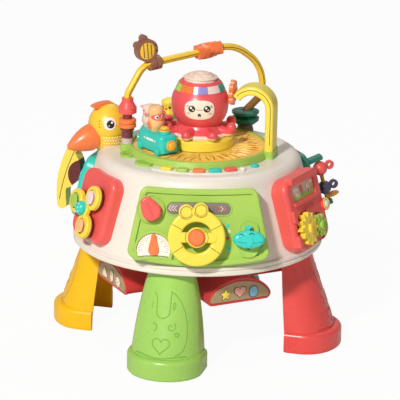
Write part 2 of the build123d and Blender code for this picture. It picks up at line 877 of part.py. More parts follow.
def stacked(spot, bore, low, steps):
    """Stack of two dished rings on one sleeve, round an upright post."""
    outer = [(r, low + h) for r, h in steps]
    return turned_at([(bore, low + steps[0][1]), *outer, (bore, low + steps[-1][1])], *spot)


with BuildPart() as post_rings:
    add(stacked(post_foot, post_r + slip, ring_low, (
        (9, 0), (11.2, 1.2), (11.2, 4.6), (9.2, 6), (11.2, 7.4), (11.2, 11), (9, 12.4),
    )))
post_rings.part.label = "post_rings"
export_step(post_rings.part, "parts/post_rings.step")

with BuildPart() as trunk_rings:
    add(stacked(trunk_foot, trunk_r + slip, spool_low, (
        (12, 0), (17.8, 5), (17.8, 8.5), (14, 9.6), (12, 10), (17.8, 14.6), (17.8, 17.6), (12, 18.6),
    )))
trunk_rings.part.label = "trunk_rings"
export_step(trunk_rings.part, "parts/trunk_rings.step")

with BuildPart() as bee_bead:
    clip = bar_spot(bee_at)
    add(disc(clip, 9.2, -7.5, -0.6))
    add(disc(clip, 9.2, 0.6, 7.5))
    add(disc(clip, 8.2, -7.5, 7.5))
    for s, z, r, half in ((26, 372, 14.6, 5.5), (13.5, 379, 4.8, 3.5), (21.5, 387.5, 4.8, 3.5)):
        spot = Plane(
            origin=bar_plane.from_local_coords((s, z, 0)),
            x_dir=bar_plane.x_dir,
            z_dir=bar_plane.z_dir,
        )
        add(disc(spot, r, -half, half))
    add(disc(clip, bar_r + slip, -30, 30), mode=Mode.SUBTRACT)
bee_bead.part.label = "bee_bead"
export_step(bee_bead.part, "parts/bee_bead.step")

with BuildPart() as twist_bead:
    spot = bar_spot(twist_at)
    for k in range(5):
        with BuildSketch(spun(spot.offset(-17 + 7 * k), 18 * k)):
            RectangleRounded(17, 17, 4)
        extrude(amount=6.6 if k < 4 else 6)
    add(disc(spot, 8.4, -17, 17))
    add(disc(spot, bar_r + slip, -30, 30), mode=Mode.SUBTRACT)
twist_bead.part.label = "twist_bead"
export_step(twist_bead.part, "parts/twist_bead.step")


# Keys and buttons
def press_key(place, shape, flange):
    """Key that stands through the top with a keeper under it."""
    under = top_z - skin - slip
    with BuildPart() as made:
        add(shape(place, under - keeper, top_z + bed_h + key_up, 0))
        fillet(made.faces().sort_by(Axis.Z)[-1].edges(), 1.6)
        add(shape(place, under - keeper, under, flange))
    return made.part


for i, name in enumerate(key_names):
    with BuildPart() as key:
        add(press_key(
            level((i - 2) * key_step, key_r, 0),
            lambda p, a, b, f: block(p, (key_size[0] + f, key_size[1] + f), a, b, 3.6), 2.6,
        ))
    key.part.label = name
    export_step(key.part, "parts/" + name + ".step")

for name, turn, r, size in button_at:
    with BuildPart() as button:
        add(press_key(level(turn, r, 0), lambda p, a, b, f: disc(p, size + f, a, b), 1.3))
    button.part.label = name
    export_step(button.part, "parts/" + name + ".step")


# Dash panel and its fittings
def dash_place(at, lift=0.0):
    return panel_plane(dash_at, dash_r, at, lift)


def gauge_outline(plane, grow):
    """Half-round gauge window with a bowed foot."""
    with BuildSketch(plane) as made:
        with BuildLine():
            r = gauge_r + grow
            ThreePointArc((r, 0), (0, r), (-r, 0))
            Line((-r, 0), (-r + 2, -9 - grow))
            ThreePointArc((-r + 2, -9 - grow), (0, -7.4 - grow), (r - 2, -9 - grow))
            Line((r - 2, -9 - grow), (r, 0))
        make_face()
    return made.sketch


lever_stem = 9.0
lever_slot = (8.0, lever_stem + 2 * lever_move + 2 * slip)
lever_cover = lever_slot[1] + lever_move
with BuildPart() as dash_panel:
    add(panel_body(dash_at, dash_r, dash_outline, 3))
    extrude(gauge_outline(dash_place(gauge_at, floor_front), 3.2), amount=recess + 1.0)
    add(disc(dash_place(knob_at), knob_r + 5.5, floor_front, 0))
    add(disc(dash_place(wheel_at), 30, floor_front, 0))
    add(block(dash_place(lever_at), (25, 46), floor_front, 2.5, 12))
    with BuildSketch(dash_place(strip_at, floor_front - 1)):
        RectangleRounded(strip_size[0], strip_size[1], strip_size[1] / 2 - 0.1)
    extrude(amount=12, mode=Mode.SUBTRACT)
    extrude(gauge_outline(dash_place(gauge_at, -1), 0), amount=12, mode=Mode.SUBTRACT)
    for at, r in ((wheel_at, 6.0), (knob_at, 5.0), (gauge_at, 2.5)):
        add(disc(dash_place(at), r + slip, -12, 12), mode=Mode.SUBTRACT)
    add(block(dash_place(lever_at), lever_slot, -12, 12, 3.9), mode=Mode.SUBTRACT)
dash_panel.part.label = "dash_panel"
export_step(dash_panel.part, "parts/dash_panel.step")

with BuildPart() as steering_wheel:
    mid, half = wheel_ring
    with BuildSketch(dash_place(wheel_at, wheel_lift)):
        Circle(mid + half)
        for turn in ear_turn:
            with Locations((ear_reach * sin(radians(turn)), ear_reach * cos(radians(turn)))):
                Circle(ear_r)
        Circle(mid - half, mode=Mode.SUBTRACT)
        Rectangle(2 * mid, 13)
        Circle(horn_r + 2.4)
    extrude(amount=wheel_t)
    rim_edges = steering_wheel.faces().sort_by(Axis((0, 0, 0), dash_place(wheel_at).z_dir))[-1].edges()
    fillet(rim_edges, 3)
    for turn in ear_turn:
        ear = (wheel_at[0] + ear_reach * sin(radians(turn)), wheel_at[1] + ear_reach * cos(radians(turn)))
        add(disc(dash_place(ear), ear_r - 2.4, wheel_lift + wheel_t - 0.8, 60), mode=Mode.SUBTRACT)
    thumb = (wheel_at[0] + thumb_reach, wheel_at[1])
    add(disc(dash_place(thumb), thumb_r, wheel_lift, wheel_lift + wheel_t + 1.5))
    add(disc(dash_place(wheel_at), horn_r + slip, wheel_lift + 4, 60), mode=Mode.SUBTRACT)
    add(spindle(dash_place(wheel_at), 6.0, wheel_lift + 2))
    add(disc(dash_place(wheel_at), 2.9, -30, 60), mode=Mode.SUBTRACT)
steering_wheel.part.label = "steering_wheel"
export_step(steering_wheel.part, "parts/steering_wheel.step")

horn_low = wheel_lift + 4
with BuildPart() as horn_button:
    add(disc(dash_place(wheel_at), horn_r, horn_low + 3.2, wheel_lift + wheel_t + 3.4))
    fillet(horn_button.faces().sort_by(Axis((0, 0, 0), dash_place(wheel_at).z_dir))[-1].edges(), 3)
    add(disc(dash_place(wheel_at), 2.5, floor_back - 8, horn_low + 4))
horn_button.part.label = "horn_button"
export_step(horn_button.part, "parts/horn_button.step")

with BuildPart() as key_knob:
    with BuildSketch(dash_place(knob_at, slip)):
        with Locations((1, -2)):
            Circle(knob_r)
        with Locations((-4.5, 7.5)):
            Circle(knob_r - 4)
        make_hull()
    extrude(amount=10)
    fillet(key_knob.faces().sort_by(Axis((0, 0, 0), dash_place(knob_at).z_dir))[-1].edges(), 3)
    with BuildSketch(spun(dash_place(knob_at, slip + 8.2), -62)):
        SlotOverall(17, 1.8)
    extrude(amount=6, mode=Mode.SUBTRACT)
    add(spindle(dash_place(knob_at), 5.0, 2))
key_knob.part.label = "key_knob"
export_step(key_knob.part, "parts/key_knob.step")

with BuildPart() as gauge_pointer:
    low = -1 + slip
    with BuildSketch(dash_place(gauge_at, low)):
        Circle(6.2)
        with BuildLine():
            Polyline((-6.2, 2), (-2.6, 17), (2.6, 17), (6.2, 2), close=True)
        make_face()
        with Locations((0, 17)):
            Circle(3)
    extrude(amount=3)
    add(disc(dash_place(gauge_at), 2.5, floor_back - slip - keeper, low + 1))
    add(disc(dash_place(gauge_at), 4.4, floor_back - slip - keeper, floor_back - slip))
gauge_pointer.part.label = "gauge_pointer"
export_step(gauge_pointer.part, "parts/gauge_pointer.step")

with BuildPart() as whale_lever:
    with BuildSketch(dash_place(lever_at, 2.5 + slip)):
        Ellipse(lever_size[0] / 2, lever_size[1] / 2)
    extrude(amount=lever_size[2])
    fillet(whale_lever.faces().sort_by(Axis((0, 0, 0), dash_place(lever_at).z_dir))[-1].edges(), 5)
    spout = dash_place((lever_at[0] - 1, lever_at[1] + lever_size[1] / 2))
    add(block(spout, (4, 8), 4, 10, 1.8))
    add(block(dash_place((lever_at[0] - 1, lever_at[1] + lever_size[1] / 2 + 4)), (9, 3.6), 4, 10, 1.7))
    behind = floor_back - slip
    add(block(dash_place(lever_at), (lever_slot[0] - 2 * slip, lever_stem), behind - keeper, 4, 3))
    add(block(dash_place(lever_at), (13, lever_cover), behind - keeper, behind, 3))
whale_lever.part.label = "whale_lever"
export_step(whale_lever.part, "parts/whale_lever.step")


# Spinner panel
def spin_place(at, lift=0.0):
    return panel_plane(spin_at, spin_r, at, lift)


with BuildPart() as spinner_panel:
    add(panel_body(spin_at, spin_r, panels["spin"][2], 6, sunk=False))
    add(disc(spin_place(spin_hub), 10, floor_front, 3))
    add(disc(spin_place(spin_hub), 5 + slip, -12, 12), mode=Mode.SUBTRACT)
spinner_panel.part.label = "spinner_panel"
export_step(spinner_panel.part, "parts/spinner_panel.step")

spin_low = 3 + slip
with BuildPart() as spinner:
    for turn in petal_turn:
        spot = (
            spin_hub[0] + petal_reach * cos(radians(turn)),
            spin_hub[1] + petal_reach * sin(radians(turn)),
        )
        with BuildSketch(spin_place(spot, spin_low)):
            Circle(petal_r)
        extrude(amount=9)
    add(disc(spin_place(spin_hub), 11, spin_low, spin_low + 9))
    front = spinner.faces().sort_by(Axis((0, 0, 0), spin_place(spin_hub).z_dir))[-1]
    fillet(front.edges(), 2.5)
    for turn in petal_turn:
        spot = (
            spin_hub[0] + petal_reach * cos(radians(turn)),
            spin_hub[1] + petal_reach * sin(radians(turn)),
        )
        add(disc(spin_place(spot), petal_hole, spin_low + 6, 60), mode=Mode.SUBTRACT)
    add(spindle(spin_place(spin_hub), 5.0, spin_low + 3))
spinner.part.label = "spinner"
export_step(spinner.part, "parts/spinner.step")

with BuildPart() as spinner_hub:
    with BuildSketch(spin_place(spin_hub, spin_low + 9)):
        Circle(9)
    extrude(amount=9)
    fillet(spinner_hub.faces().sort_by(Axis((0, 0, 0), spin_place(spin_hub).z_dir))[-1].edges(), 8)
spinner_hub.part.label = "spinner_hub"
export_step(spinner_hub.part, "parts/spinner_hub.step")


# Bus panel with its gears
def bus_place(at, lift=0.0):
    return panel_plane(bus_at, bus_r, at, lift)


with BuildPart() as bus_panel:
    add(panel_body(bus_at, bus_r, panels["bus"][2], 6, sunk=False))
    add(block(bus_place((0, 44)), (70, 9), -8, brow, 4))
    add(block(bus_place((0, window_low - 2)), (66, 5), -8, 2.6, 2.4))
    for side, low in ((-1, -30), (-1, 2)):
        add(block(bus_place((side * 40.5, low)), (7, 16), -8, 4, 3.4))
    add(disc(bus_place(lamp_at), lamp_r, -9, 3.5))
    add(disc(bus_place(lamp_at), lamp_r - 2.6, 2, 20), mode=Mode.SUBTRACT)
    with BuildSketch(bus_place((0, (window_low + window_high) / 2), floor_front)):
        RectangleRounded(60, window_high - window_low, 5)
    extrude(amount=20, mode=Mode.SUBTRACT)
    with BuildSketch(bus_place((0, 0), floor_front)):
        for at, teeth in zip(gear_spot, gear_teeth):
            with Locations(at):
                Circle(gear_m * (teeth / 2 + 0.72) + 2.4)
        with Locations((0, -33)):
            RectangleRounded(62, 20, 8)
    extrude(amount=20, mode=Mode.SUBTRACT)
    for at in gear_spot:
        add(disc(bus_place(at), 7, floor_front, gear_low - slip))
        add(disc(bus_place(at), 4 + slip, -12, 12), mode=Mode.SUBTRACT)
bus_panel.part.label = "bus_panel"
export_step(bus_panel.part, "parts/bus_panel.step")

bus_mesh = atan((gear_spot[1][1] - gear_spot[0][1]) / (gear_spot[1][0] - gear_spot[0][0])) * 180 / pi
for name, teeth, at, turn in (
    ("gear_yellow", gear_teeth[0], gear_spot[0], bus_mesh),
    ("gear_green", gear_teeth[1], gear_spot[1], bus_mesh + 180 + 180 / gear_teeth[1]),
):
    with BuildPart() as gear:
        with BuildSketch(spun(bus_place(at, gear_low), turn)):
            with BuildLine():
                Polyline(*gear_outline(teeth), close=True)
            make_face()
        extrude(amount=gear_t)
        add(disc(bus_place(at), 6, gear_low, gear_low + gear_t + 3))
        add(spindle(bus_place(at), 4.0, gear_low + 2))
    gear.part.label = name
    export_step(gear.part, "parts/" + name + ".step")


# Phone panel with its handset
def phone_place(at, lift=0.0):
    return panel_plane(phone_at, phone_r, at, lift)


phone_side = Plane(
    origin=phone_place((0, 0)).origin,
    x_dir=phone_place((0, 0)).z_dir,
    z_dir=-phone_place((0, 0)).x_dir,
)
with BuildPart() as phone_panel:
    add(panel_body(phone_at, phone_r, panels["phone"][2], 5))
    add(disc(phone_place((0, 2)), 11, floor_front, 8))
    add(disc(phone_place((0, 2)), peg_phone, 8, 19))
phone_panel.part.label = "phone_panel"
export_step(phone_panel.part, "parts/phone_panel.step")

with BuildPart() as handset:
    (n0, v0), (n1, v1), (n2, v2) = phone_path
    t = phone_thick / 2
    with BuildSketch(phone_side):
        with BuildLine():
            ThreePointArc((n0 + t, v0), (n1 + t, v1), (n2 + t, v2 - 2))
            ThreePointArc((n2 + t, v2 - 2), (n2, v2 - 1 - t), (n2 - t, v2))
            ThreePointArc((n2 - t, v2), (n1 - t, v1), (n0 - t, v0 - 2))
            ThreePointArc((n0 - t, v0 - 2), (n0, v0 - 1 + t), (n0 + t, v0))
        make_face()
        with BuildLine():
            ThreePointArc(*phone_belly)
            Line(phone_belly[-1], phone_belly[0])
        make_face()
    extrude(amount=phone_half, both=True)
    add(disc(phone_place((0, 2)), peg_phone + slip, 0, 19 + slip), mode=Mode.SUBTRACT)
handset.part.label = "handset"
export_step(handset.part, "parts/handset.step")


# Bead panel with its rod
def bead_place(at, lift=0.0):
    return panel_plane(bead_at, bead_r, at, lift)


rod_base = bead_place((0, 0), bead_off)
rod_plane = Plane(origin=rod_base.origin, x_dir=rod_base.z_dir, z_dir=rod_base.y_dir)
with BuildPart() as bead_panel:
    add(panel_body(bead_at, bead_r, panels["bead"][2], 5))
    for v in rod_ends:
        add(block(bead_place((0, v)), (11, 7), floor_front, bead_off + 5, 2.5))
    add(disc(rod_plane, rod_r + seat, rod_ends[1] - 2, rod_ends[0] + 2), mode=Mode.SUBTRACT)
bead_panel.part.label = "bead_panel"
export_step(bead_panel.part, "parts/bead_panel.step")

with BuildPart() as bead_rod:
    add(disc(rod_plane, rod_r, rod_ends[1] - 2, rod_ends[0] + 2))
    with BuildSketch(Plane(origin=rod_base.from_local_coords((0, rod_ends[1] + 7.9, 0)),
                           x_dir=rod_base.z_dir, z_dir=-rod_base.x_dir)):
        with Locations((9, 0)):
            Ellipse(9, 3.2)
    extrude(amount=2, both=True)
bead_rod.part.label = "bead_rod"
export_step(bead_rod.part, "parts/bead_rod.step")

for name, v, r in (("bead_red", bead_spots[0], bead_size[0]), ("bead_navy", bead_spots[1], bead_size[1])):
    with BuildPart() as bead:
        with Locations(rod_plane.from_local_coords((0, 0, v))):
            Sphere(r)
        with BuildSketch(Plane(origin=rod_base.from_local_coords((0, v, 0)),
                               x_dir=rod_base.z_dir, z_dir=-rod_base.x_dir)):
            with Locations((r + 4.5, 0)):
                Circle(6)
                Circle(2.8, mode=Mode.SUBTRACT)
        extrude(amount=2.2, both=True)
        add(disc(rod_plane, rod_r + slip, v - 30, v + 30), mode=Mode.SUBTRACT)
    bead.part.label = name
    export_step(bead.part, "parts/" + name + ".step")

# Bird
head_line = ((24.4, bird_seam), (25.4, 268), (23.2, 279), (17, 289), (8.6, 295.5), (0, 297))
with BuildPart() as bird_neck:
    add(turned_at((
        (0, bird_low), (13, bird_low), (17.5, bird_low + 6), (21.4, 248), (bird_neck_r, 255),
        (bird_neck_r, bird_seam - slip), (8 + slip, bird_seam - slip), (8 + slip, 247), (0, 247),
    ), bird_x, bird_y))
    add(body_form(panel_fit), mode=Mode.SUBTRACT)
bird_neck.part.label = "bird_neck"
export_step(bird_neck.part, "parts/bird_neck.step")

with BuildPart() as bird_head:
    with BuildSketch(Plane.XZ):
        with BuildLine():
            Polyline(head_line[-1], (0, 248), (8, 248), (8, bird_seam), head_line[0])
            Spline(*head_line)
        make_face()
    revolve(axis=Axis.Z)
bird_head.part = Pos(bird_x, bird_y, 0) * bird_head.part
bird_head.part.label = "bird_head"
export_step(bird_head.part, "parts/bird_head.step")


def across_beak(reach, z):
    ox, oy = outward(beak_turn)
    place = (bird_x + reach * ox, bird_y + reach * oy, z)
    return Plane(origin=place, x_dir=(-oy, ox, 0), z_dir=(ox, oy, 0))


with BuildPart() as bird_beak:
    sections = []
    for reach, z, half_w, half_h in beak_sections:
        with BuildSketch(across_beak(reach, z)) as cut:
            Ellipse(half_w, half_h)
        sections.append(cut.sketch)
    loft(sections)
    ahead = upright(beak_turn)
    with BuildSketch(Plane(origin=(bird_x, bird_y, 0), x_dir=ahead.x_dir, z_dir=ahead.z_dir)) as crest:
        with Locations((9, 295.5)):
            Ellipse(14, 3.2, rotation=-7)
    extrude(crest.sketch, amount=5, both=True)
    with BuildSketch(Plane.XZ, mode=Mode.PRIVATE) as form:
        with BuildLine():
            grown = [(r + seat, z) for r, z in head_line[1:-1]]
            start = (head_line[0][0] + seat, bird_seam - 1)
            end = (0, head_line[-1][1] + seat)
            Polyline(
                end, (0, 225), (bird_neck_r + swing, 225), (bird_neck_r + swing, bird_seam - 2), start,
            )
            Spline(start, *grown, end)
        make_face()
    core = revolve(form.sketch, axis=Axis.Z, mode=Mode.PRIVATE)
    add(Pos(bird_x, bird_y, 0) * core, mode=Mode.SUBTRACT)
bird_beak.part.label = "bird_beak"
export_step(bird_beak.part, "parts/bird_beak.step")
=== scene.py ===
"""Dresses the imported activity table: finishes for its mouldings, and the faces, prints and trim on them."""

import logging
import math
from dataclasses import dataclass
from enum import Enum
from typing import Callable, Sequence

import bpy
from mathutils import Matrix, Vector


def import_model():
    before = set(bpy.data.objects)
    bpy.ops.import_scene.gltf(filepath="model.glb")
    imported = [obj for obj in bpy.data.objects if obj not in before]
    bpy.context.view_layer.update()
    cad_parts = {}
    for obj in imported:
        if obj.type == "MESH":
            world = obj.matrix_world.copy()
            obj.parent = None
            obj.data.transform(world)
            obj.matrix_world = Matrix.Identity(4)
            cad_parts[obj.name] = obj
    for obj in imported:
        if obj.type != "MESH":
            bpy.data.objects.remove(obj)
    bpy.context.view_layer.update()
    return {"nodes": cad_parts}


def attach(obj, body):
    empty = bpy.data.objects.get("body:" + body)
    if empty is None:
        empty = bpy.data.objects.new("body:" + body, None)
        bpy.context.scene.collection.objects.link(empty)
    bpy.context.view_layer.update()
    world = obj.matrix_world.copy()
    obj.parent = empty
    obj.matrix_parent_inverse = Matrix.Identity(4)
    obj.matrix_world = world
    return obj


LOG = logging.getLogger("activity_table")
MM = 0.001
LEAN = 16.0  # degrees that the drum's wall leans back
CAST = 60.0  # millimetres in front of a seat from which surfaces are looked for
SKIN_SINK = 0.15  # millimetres that a thin skin reaches into the surface under it
SHARP_EDGE = math.radians(35.0)
CLOUD_MM = 38.0  # flow clouds in a moulding
HANDLED_MM = 11.0  # patches of wear in its sheen
RIDGE_MM = 34.0  # wave length of the shell's relief
STRAND_MM = 11.0  # length over which a straw strand changes
Piece = bpy.types.Object
Tree = bpy.types.NodeTree
Socket = bpy.types.NodeSocket
Node = bpy.types.Node
Point = tuple[float, float]
Nodes = dict[str, Piece]


class Body(Enum):
    """The moving bodies that trim rides on."""

    TABLE = "table"
    DISC = "disc"
    CAP = "cap"
    WHEEL = "wheel"
    HORN = "horn"
    POINTER = "pointer"
    WHALE = "whale"
    FLOWER = "flower"
    GEAR_A = "gear_a"
    GEAR_B = "gear_b"
    BEE = "bee"
    BIRD = "bird"
    PHONE = "phone"
    TRUNK = "trunk_spool"


def linear(colour: str) -> tuple[float, float, float, float]:
    """Turns an sRGB hex colour to linear light.

    Args:
        colour: Hex text such as "#FBF3E6".

    Returns:
        Red, green, blue and alpha.
    """
    parts = [int(colour[i:i + 2], 16) / 255 for i in (1, 3, 5)]
    red, green, blue = [c / 12.92 if c <= 0.04045 else ((c + 0.055) / 1.055) ** 2.4 for c in parts]
    return red, green, blue, 1.0


def node(
    tree: Tree,
    kind: str,
    values: dict | None = None,
    links: dict | None = None,
    **settings: object,
) -> Node:
    """Adds one node with its settings, socket values and incoming links.

    Args:
        tree: The material's node tree.
        kind: The node's type name.
        values: Socket name or index to constant value.
        links: Socket name or index to the socket that feeds it.
        settings: Properties set on the node itself.

    Returns:
        The new node.
    """
    made = tree.nodes.new(kind)
    for key, value in settings.items():
        setattr(made, key, value)
    for key, value in (values or {}).items():
        made.inputs[key].default_value = value
    for key, source in (links or {}).items():
        tree.links.new(source, made.inputs[key])
    return made


@dataclass(frozen=True)
class Seat:
    """A place to model on: origin in millimetres and three unit axes."""

    origin: Vector
    across: Vector
    along: Vector
    out: Vector

    def matrix(self) -> Matrix:
        """Gives the seat as a placing matrix in metres.

        Returns:
            The matrix.
        """
        placed = Matrix((self.across, self.along, self.out)).transposed().to_4x4()
        placed.translation = self.origin * MM
        return placed

    def at(self, u: float, v: float, n: float = 0.0) -> "Seat":
        """Gives the same seat moved along its own axes."""
        moved = self.origin + self.across * u + self.along * v + self.out * n
        return Seat(moved, self.across, self.along, self.out)

    def turned(self, degrees: float) -> "Seat":
        """Gives the same seat turned about its normal.

        Args:
            degrees: How far it turns.

        Returns:
            The turned seat.
        """
        c, s = math.cos(math.radians(degrees)), math.sin(math.radians(degrees))
        return Seat(
            self.origin, self.across * c + self.along * s, self.along * c - self.across * s, self.out
        )

    def point(self, u: float, v: float, n: float = 0.0) -> Vector:
        """Gives a point of the seat in metres."""
        return self.at(u, v, n).origin * MM


def outward(turn: float) -> Vector:
    """Gives the level direction at a turn from the front, positive to the right."""
    return Vector((math.sin(math.radians(turn)), -math.cos(math.radians(turn)), 0.0))


def panel_seat(turn: float, reach: float, height: float = 190.0, lean: float = LEAN) -> Seat:
    """Gives the face of a panel on the leaning wall.

    Args:
        turn: Degrees from the front.
        reach: Distance of the face from the axis.
        height: Height at which the reach holds.
        lean: Degrees that the face leans back.

    Returns:
        A seat with across to the right, along up the slope and out of the face.
    """
    way = outward(turn)
    across = Vector((-way.y, way.x, 0.0))
    out = way * math.cos(math.radians(lean)) + Vector((0, 0, math.sin(math.radians(lean))))
    return Seat(way * reach + Vector((0, 0, height)), across, out.cross(across), out)


def level_seat(x: float, y: float, z: float, turn: float = 90.0) -> Seat:
    """Gives a level seat facing up, its across axis pointing at a turn from the front.

    Args:
        x: Place to the right in millimetres.
        y: Place to the back.
        z: Height.
        turn: Degrees from the front.

    Returns:
        The seat.
    """
    across = outward(turn)
    up = Vector((0, 0, 1))
    return Seat(Vector((x, y, z)), across, up.cross(across), up)


FLOWER_FACE = panel_seat(-60.0, 154.0)
PHONE_FACE = panel_seat(-108.0, 152.0)
BUS_FACE = panel_seat(61.0, 158.0)


@dataclass(frozen=True)
class Moulding:
    """Injection-moulded ABS: even colour with faint flow clouds, and a spark-eroded satin grain."""

    name: str
    colour: str
    shade: str
    roughness: float = 0.36
    grain_mm: float = 0.9
    grain_depth: float = 0.05
    coat: float = 0.12

    def paint(self, tree: Tree, coords: Node) -> Socket:
        """Lays the base colour, clouded over about 38 mm as the melt cools unevenly.

        Args:
            tree: The material's node tree.
            coords: The texture coordinate node.

        Returns:
            The colour socket.
        """
        cloud = node(
            tree, "ShaderNodeTexNoise", {"Scale": 1 / (CLOUD_MM * MM), "Detail": 3.0, "Roughness": 0.55},
            {"Vector": coords.outputs["Object"]},
        )
        share = node(
            tree, "ShaderNodeMapRange",
            {"From Min": 0.35, "From Max": 0.75, "To Min": 0.0, "To Max": 0.35}, {"Value": cloud.outputs[0]},
        )
        mixed = node(
            tree, "ShaderNodeMix", {6: linear(self.colour), 7: linear(self.shade)},
            {0: share.outputs[0]}, data_type="RGBA",
        )
        return mixed.outputs[2]

    def relief(self, tree: Tree, coords: Node) -> Socket:
        """Raises the tool's grain, drawn coarser than its 0.1 mm so that it shows in the render.

        Args:
            tree: The material's node tree.
            coords: The texture coordinate node.

        Returns:
            The normal socket.
        """
        grain = node(
            tree, "ShaderNodeTexNoise", {"Scale": 1 / (self.grain_mm * MM), "Detail": 2.0},
            {"Vector": coords.outputs["Object"]},
        )
        raised = node(
            tree, "ShaderNodeBump", {"Strength": self.grain_depth, "Distance": 0.0002},
            {"Height": grain.outputs[0]},
        )
        return raised.outputs[0]

    def material(self) -> bpy.types.Material:
        """Builds the material once and gives it again when asked.

        Returns:
            The material.
        """
        found = bpy.data.materials.get(self.name)
        if found:
            return found
        made = bpy.data.materials.new(self.name)
        made.use_nodes = True
        tree = made.node_tree
        tree.nodes.clear()
        coords = node(tree, "ShaderNodeTexCoord")
        colour = self.paint(tree, coords)
        handled = node(
            tree, "ShaderNodeTexNoise", {"Scale": 1 / (HANDLED_MM * MM), "Detail": 4.0},
            {"Vector": coords.outputs["Object"]},
        )
        sheen = node(
            tree, "ShaderNodeMapRange",
            {
                "From Min": 0.3, "From Max": 0.7,
                "To Min": self.roughness - 0.05, "To Max": self.roughness + 0.08,
            },
            {"Value": handled.outputs[0]},
        )
        shader = node(
            tree, "ShaderNodeBsdfPrincipled",
            {"IOR": 1.53, "Coat Weight": self.coat, "Coat Roughness": 0.18},
            {"Base Color": colour, "Roughness": sheen.outputs[0], "Normal": self.relief(tree, coords)},
        )
        node(tree, "ShaderNodeOutputMaterial", None, {"Surface": shader.outputs[0]})
        return made


@dataclass(frozen=True)
class WindowBand(Moulding):
    """Moulded windows that go round the drum's shoulder, ten to the turn in six colours."""

    colours: tuple[str, ...] = (
        "#9A97D8", "#FBE3DA", "#2BB8A6", "#B7DD5B", "#FF8040",
        "#9A97D8", "#FBE3DA", "#2BB8A6", "#FFC94A", "#FF8040",
    )

    def paint(self, tree: Tree, coords: Node) -> Socket:
        """Gives each tenth of the turn its colour, by the angle from the front about the drum's axis.

        Args:
            tree: The material's node tree.
            coords: The texture coordinate node.

        Returns:
            The colour socket.
        """
        parts = node(tree, "ShaderNodeSeparateXYZ", None, {0: coords.outputs["Object"]})
        front = node(tree, "ShaderNodeMath", {1: -1.0}, {0: parts.outputs[1]}, operation="MULTIPLY")
        angle = node(
            tree, "ShaderNodeMath", None, {0: parts.outputs[0], 1: front.outputs[0]}, operation="ARCTAN2"
        )
        share = node(
            tree, "ShaderNodeMapRange",
            {"From Min": -math.pi, "From Max": math.pi, "To Min": 0.0, "To Max": 1.0},
            {"Value": angle.outputs[0]},
        )
        ramp = node(tree, "ShaderNodeValToRGB", None, {0: share.outputs[0]})
        ramp.color_ramp.interpolation = "CONSTANT"
        stops = ramp.color_ramp.elements
        stops.remove(stops[1])
        stops[0].position, stops[0].color = 0.0, linear(self.colours[0])
        for step in range(1, 11):
            stops.new(step / 10 - 0.05).color = linear(self.colours[step % 10])
        return ramp.outputs[0]


@dataclass(frozen=True)
class StrawDisc(Moulding):
    """Moulded straw: short strands that fan out from the disc's middle, each a little lighter or darker."""

    strand_mm: float = 1.6

    def strands(self, tree: Tree, coords: Node) -> Socket:
        """Draws strands along the radius from the angle and a slow change with reach.

        Args:
            tree: The material's node tree.
            coords: The texture coordinate node.

        Returns:
            The socket that says how dark the strand is.
        """
        parts = node(tree, "ShaderNodeSeparateXYZ", None, {0: coords.outputs["Object"]})
        angle = node(
            tree, "ShaderNodeMath", None, {0: parts.outputs[0], 1: parts.outputs[1]}, operation="ARCTAN2"
        )
        reach = node(
            tree, "ShaderNodeVectorMath", None, {0: coords.outputs["Object"]}, operation="LENGTH"
        )
        around = node(
            tree, "ShaderNodeMath", {1: 65.0 / self.strand_mm}, {0: angle.outputs[0]}, operation="MULTIPLY"
        )
        along = node(
            tree, "ShaderNodeMath", {1: 1 / (STRAND_MM * MM)}, {0: reach.outputs[1]}, operation="MULTIPLY"
        )
        spread = node(tree, "ShaderNodeCombineXYZ", None, {0: around.outputs[0], 1: along.outputs[0]})
        drawn = node(
            tree, "ShaderNodeTexNoise", {"Scale": 1.0, "Detail": 3.0, "Roughness": 0.6},
            {"Vector": spread.outputs[0]},
        )
        return drawn.outputs[0]

    def paint(self, tree: Tree, coords: Node) -> Socket:
        """Mixes the light and the dark straw by strand.

        Args:
            tree: The material's node tree.
            coords: The texture coordinate node.

        Returns:
            The colour socket.
        """
        share = node(
            tree, "ShaderNodeMapRange",
            {"From Min": 0.4, "From Max": 0.62, "To Min": 0.0, "To Max": 0.85},
            {"Value": self.strands(tree, coords)},
        )
        mixed = node(
            tree, "ShaderNodeMix", {6: linear(self.colour), 7: linear(self.shade)}, {0: share.outputs[0]},
            data_type="RGBA",
        )
        return mixed.outputs[2]

    def relief(self, tree: Tree, coords: Node) -> Socket:
        """Raises the strands by about a third of a millimetre.

        Args:
            tree: The material's node tree.
            coords: The texture coordinate node.

        Returns:
            The normal socket.
        """
        raised = node(
            tree, "ShaderNodeBump", {"Strength": 0.7, "Distance": 0.0008},
            {"Height": self.strands(tree, coords)},
        )
        return raised.outputs[0]


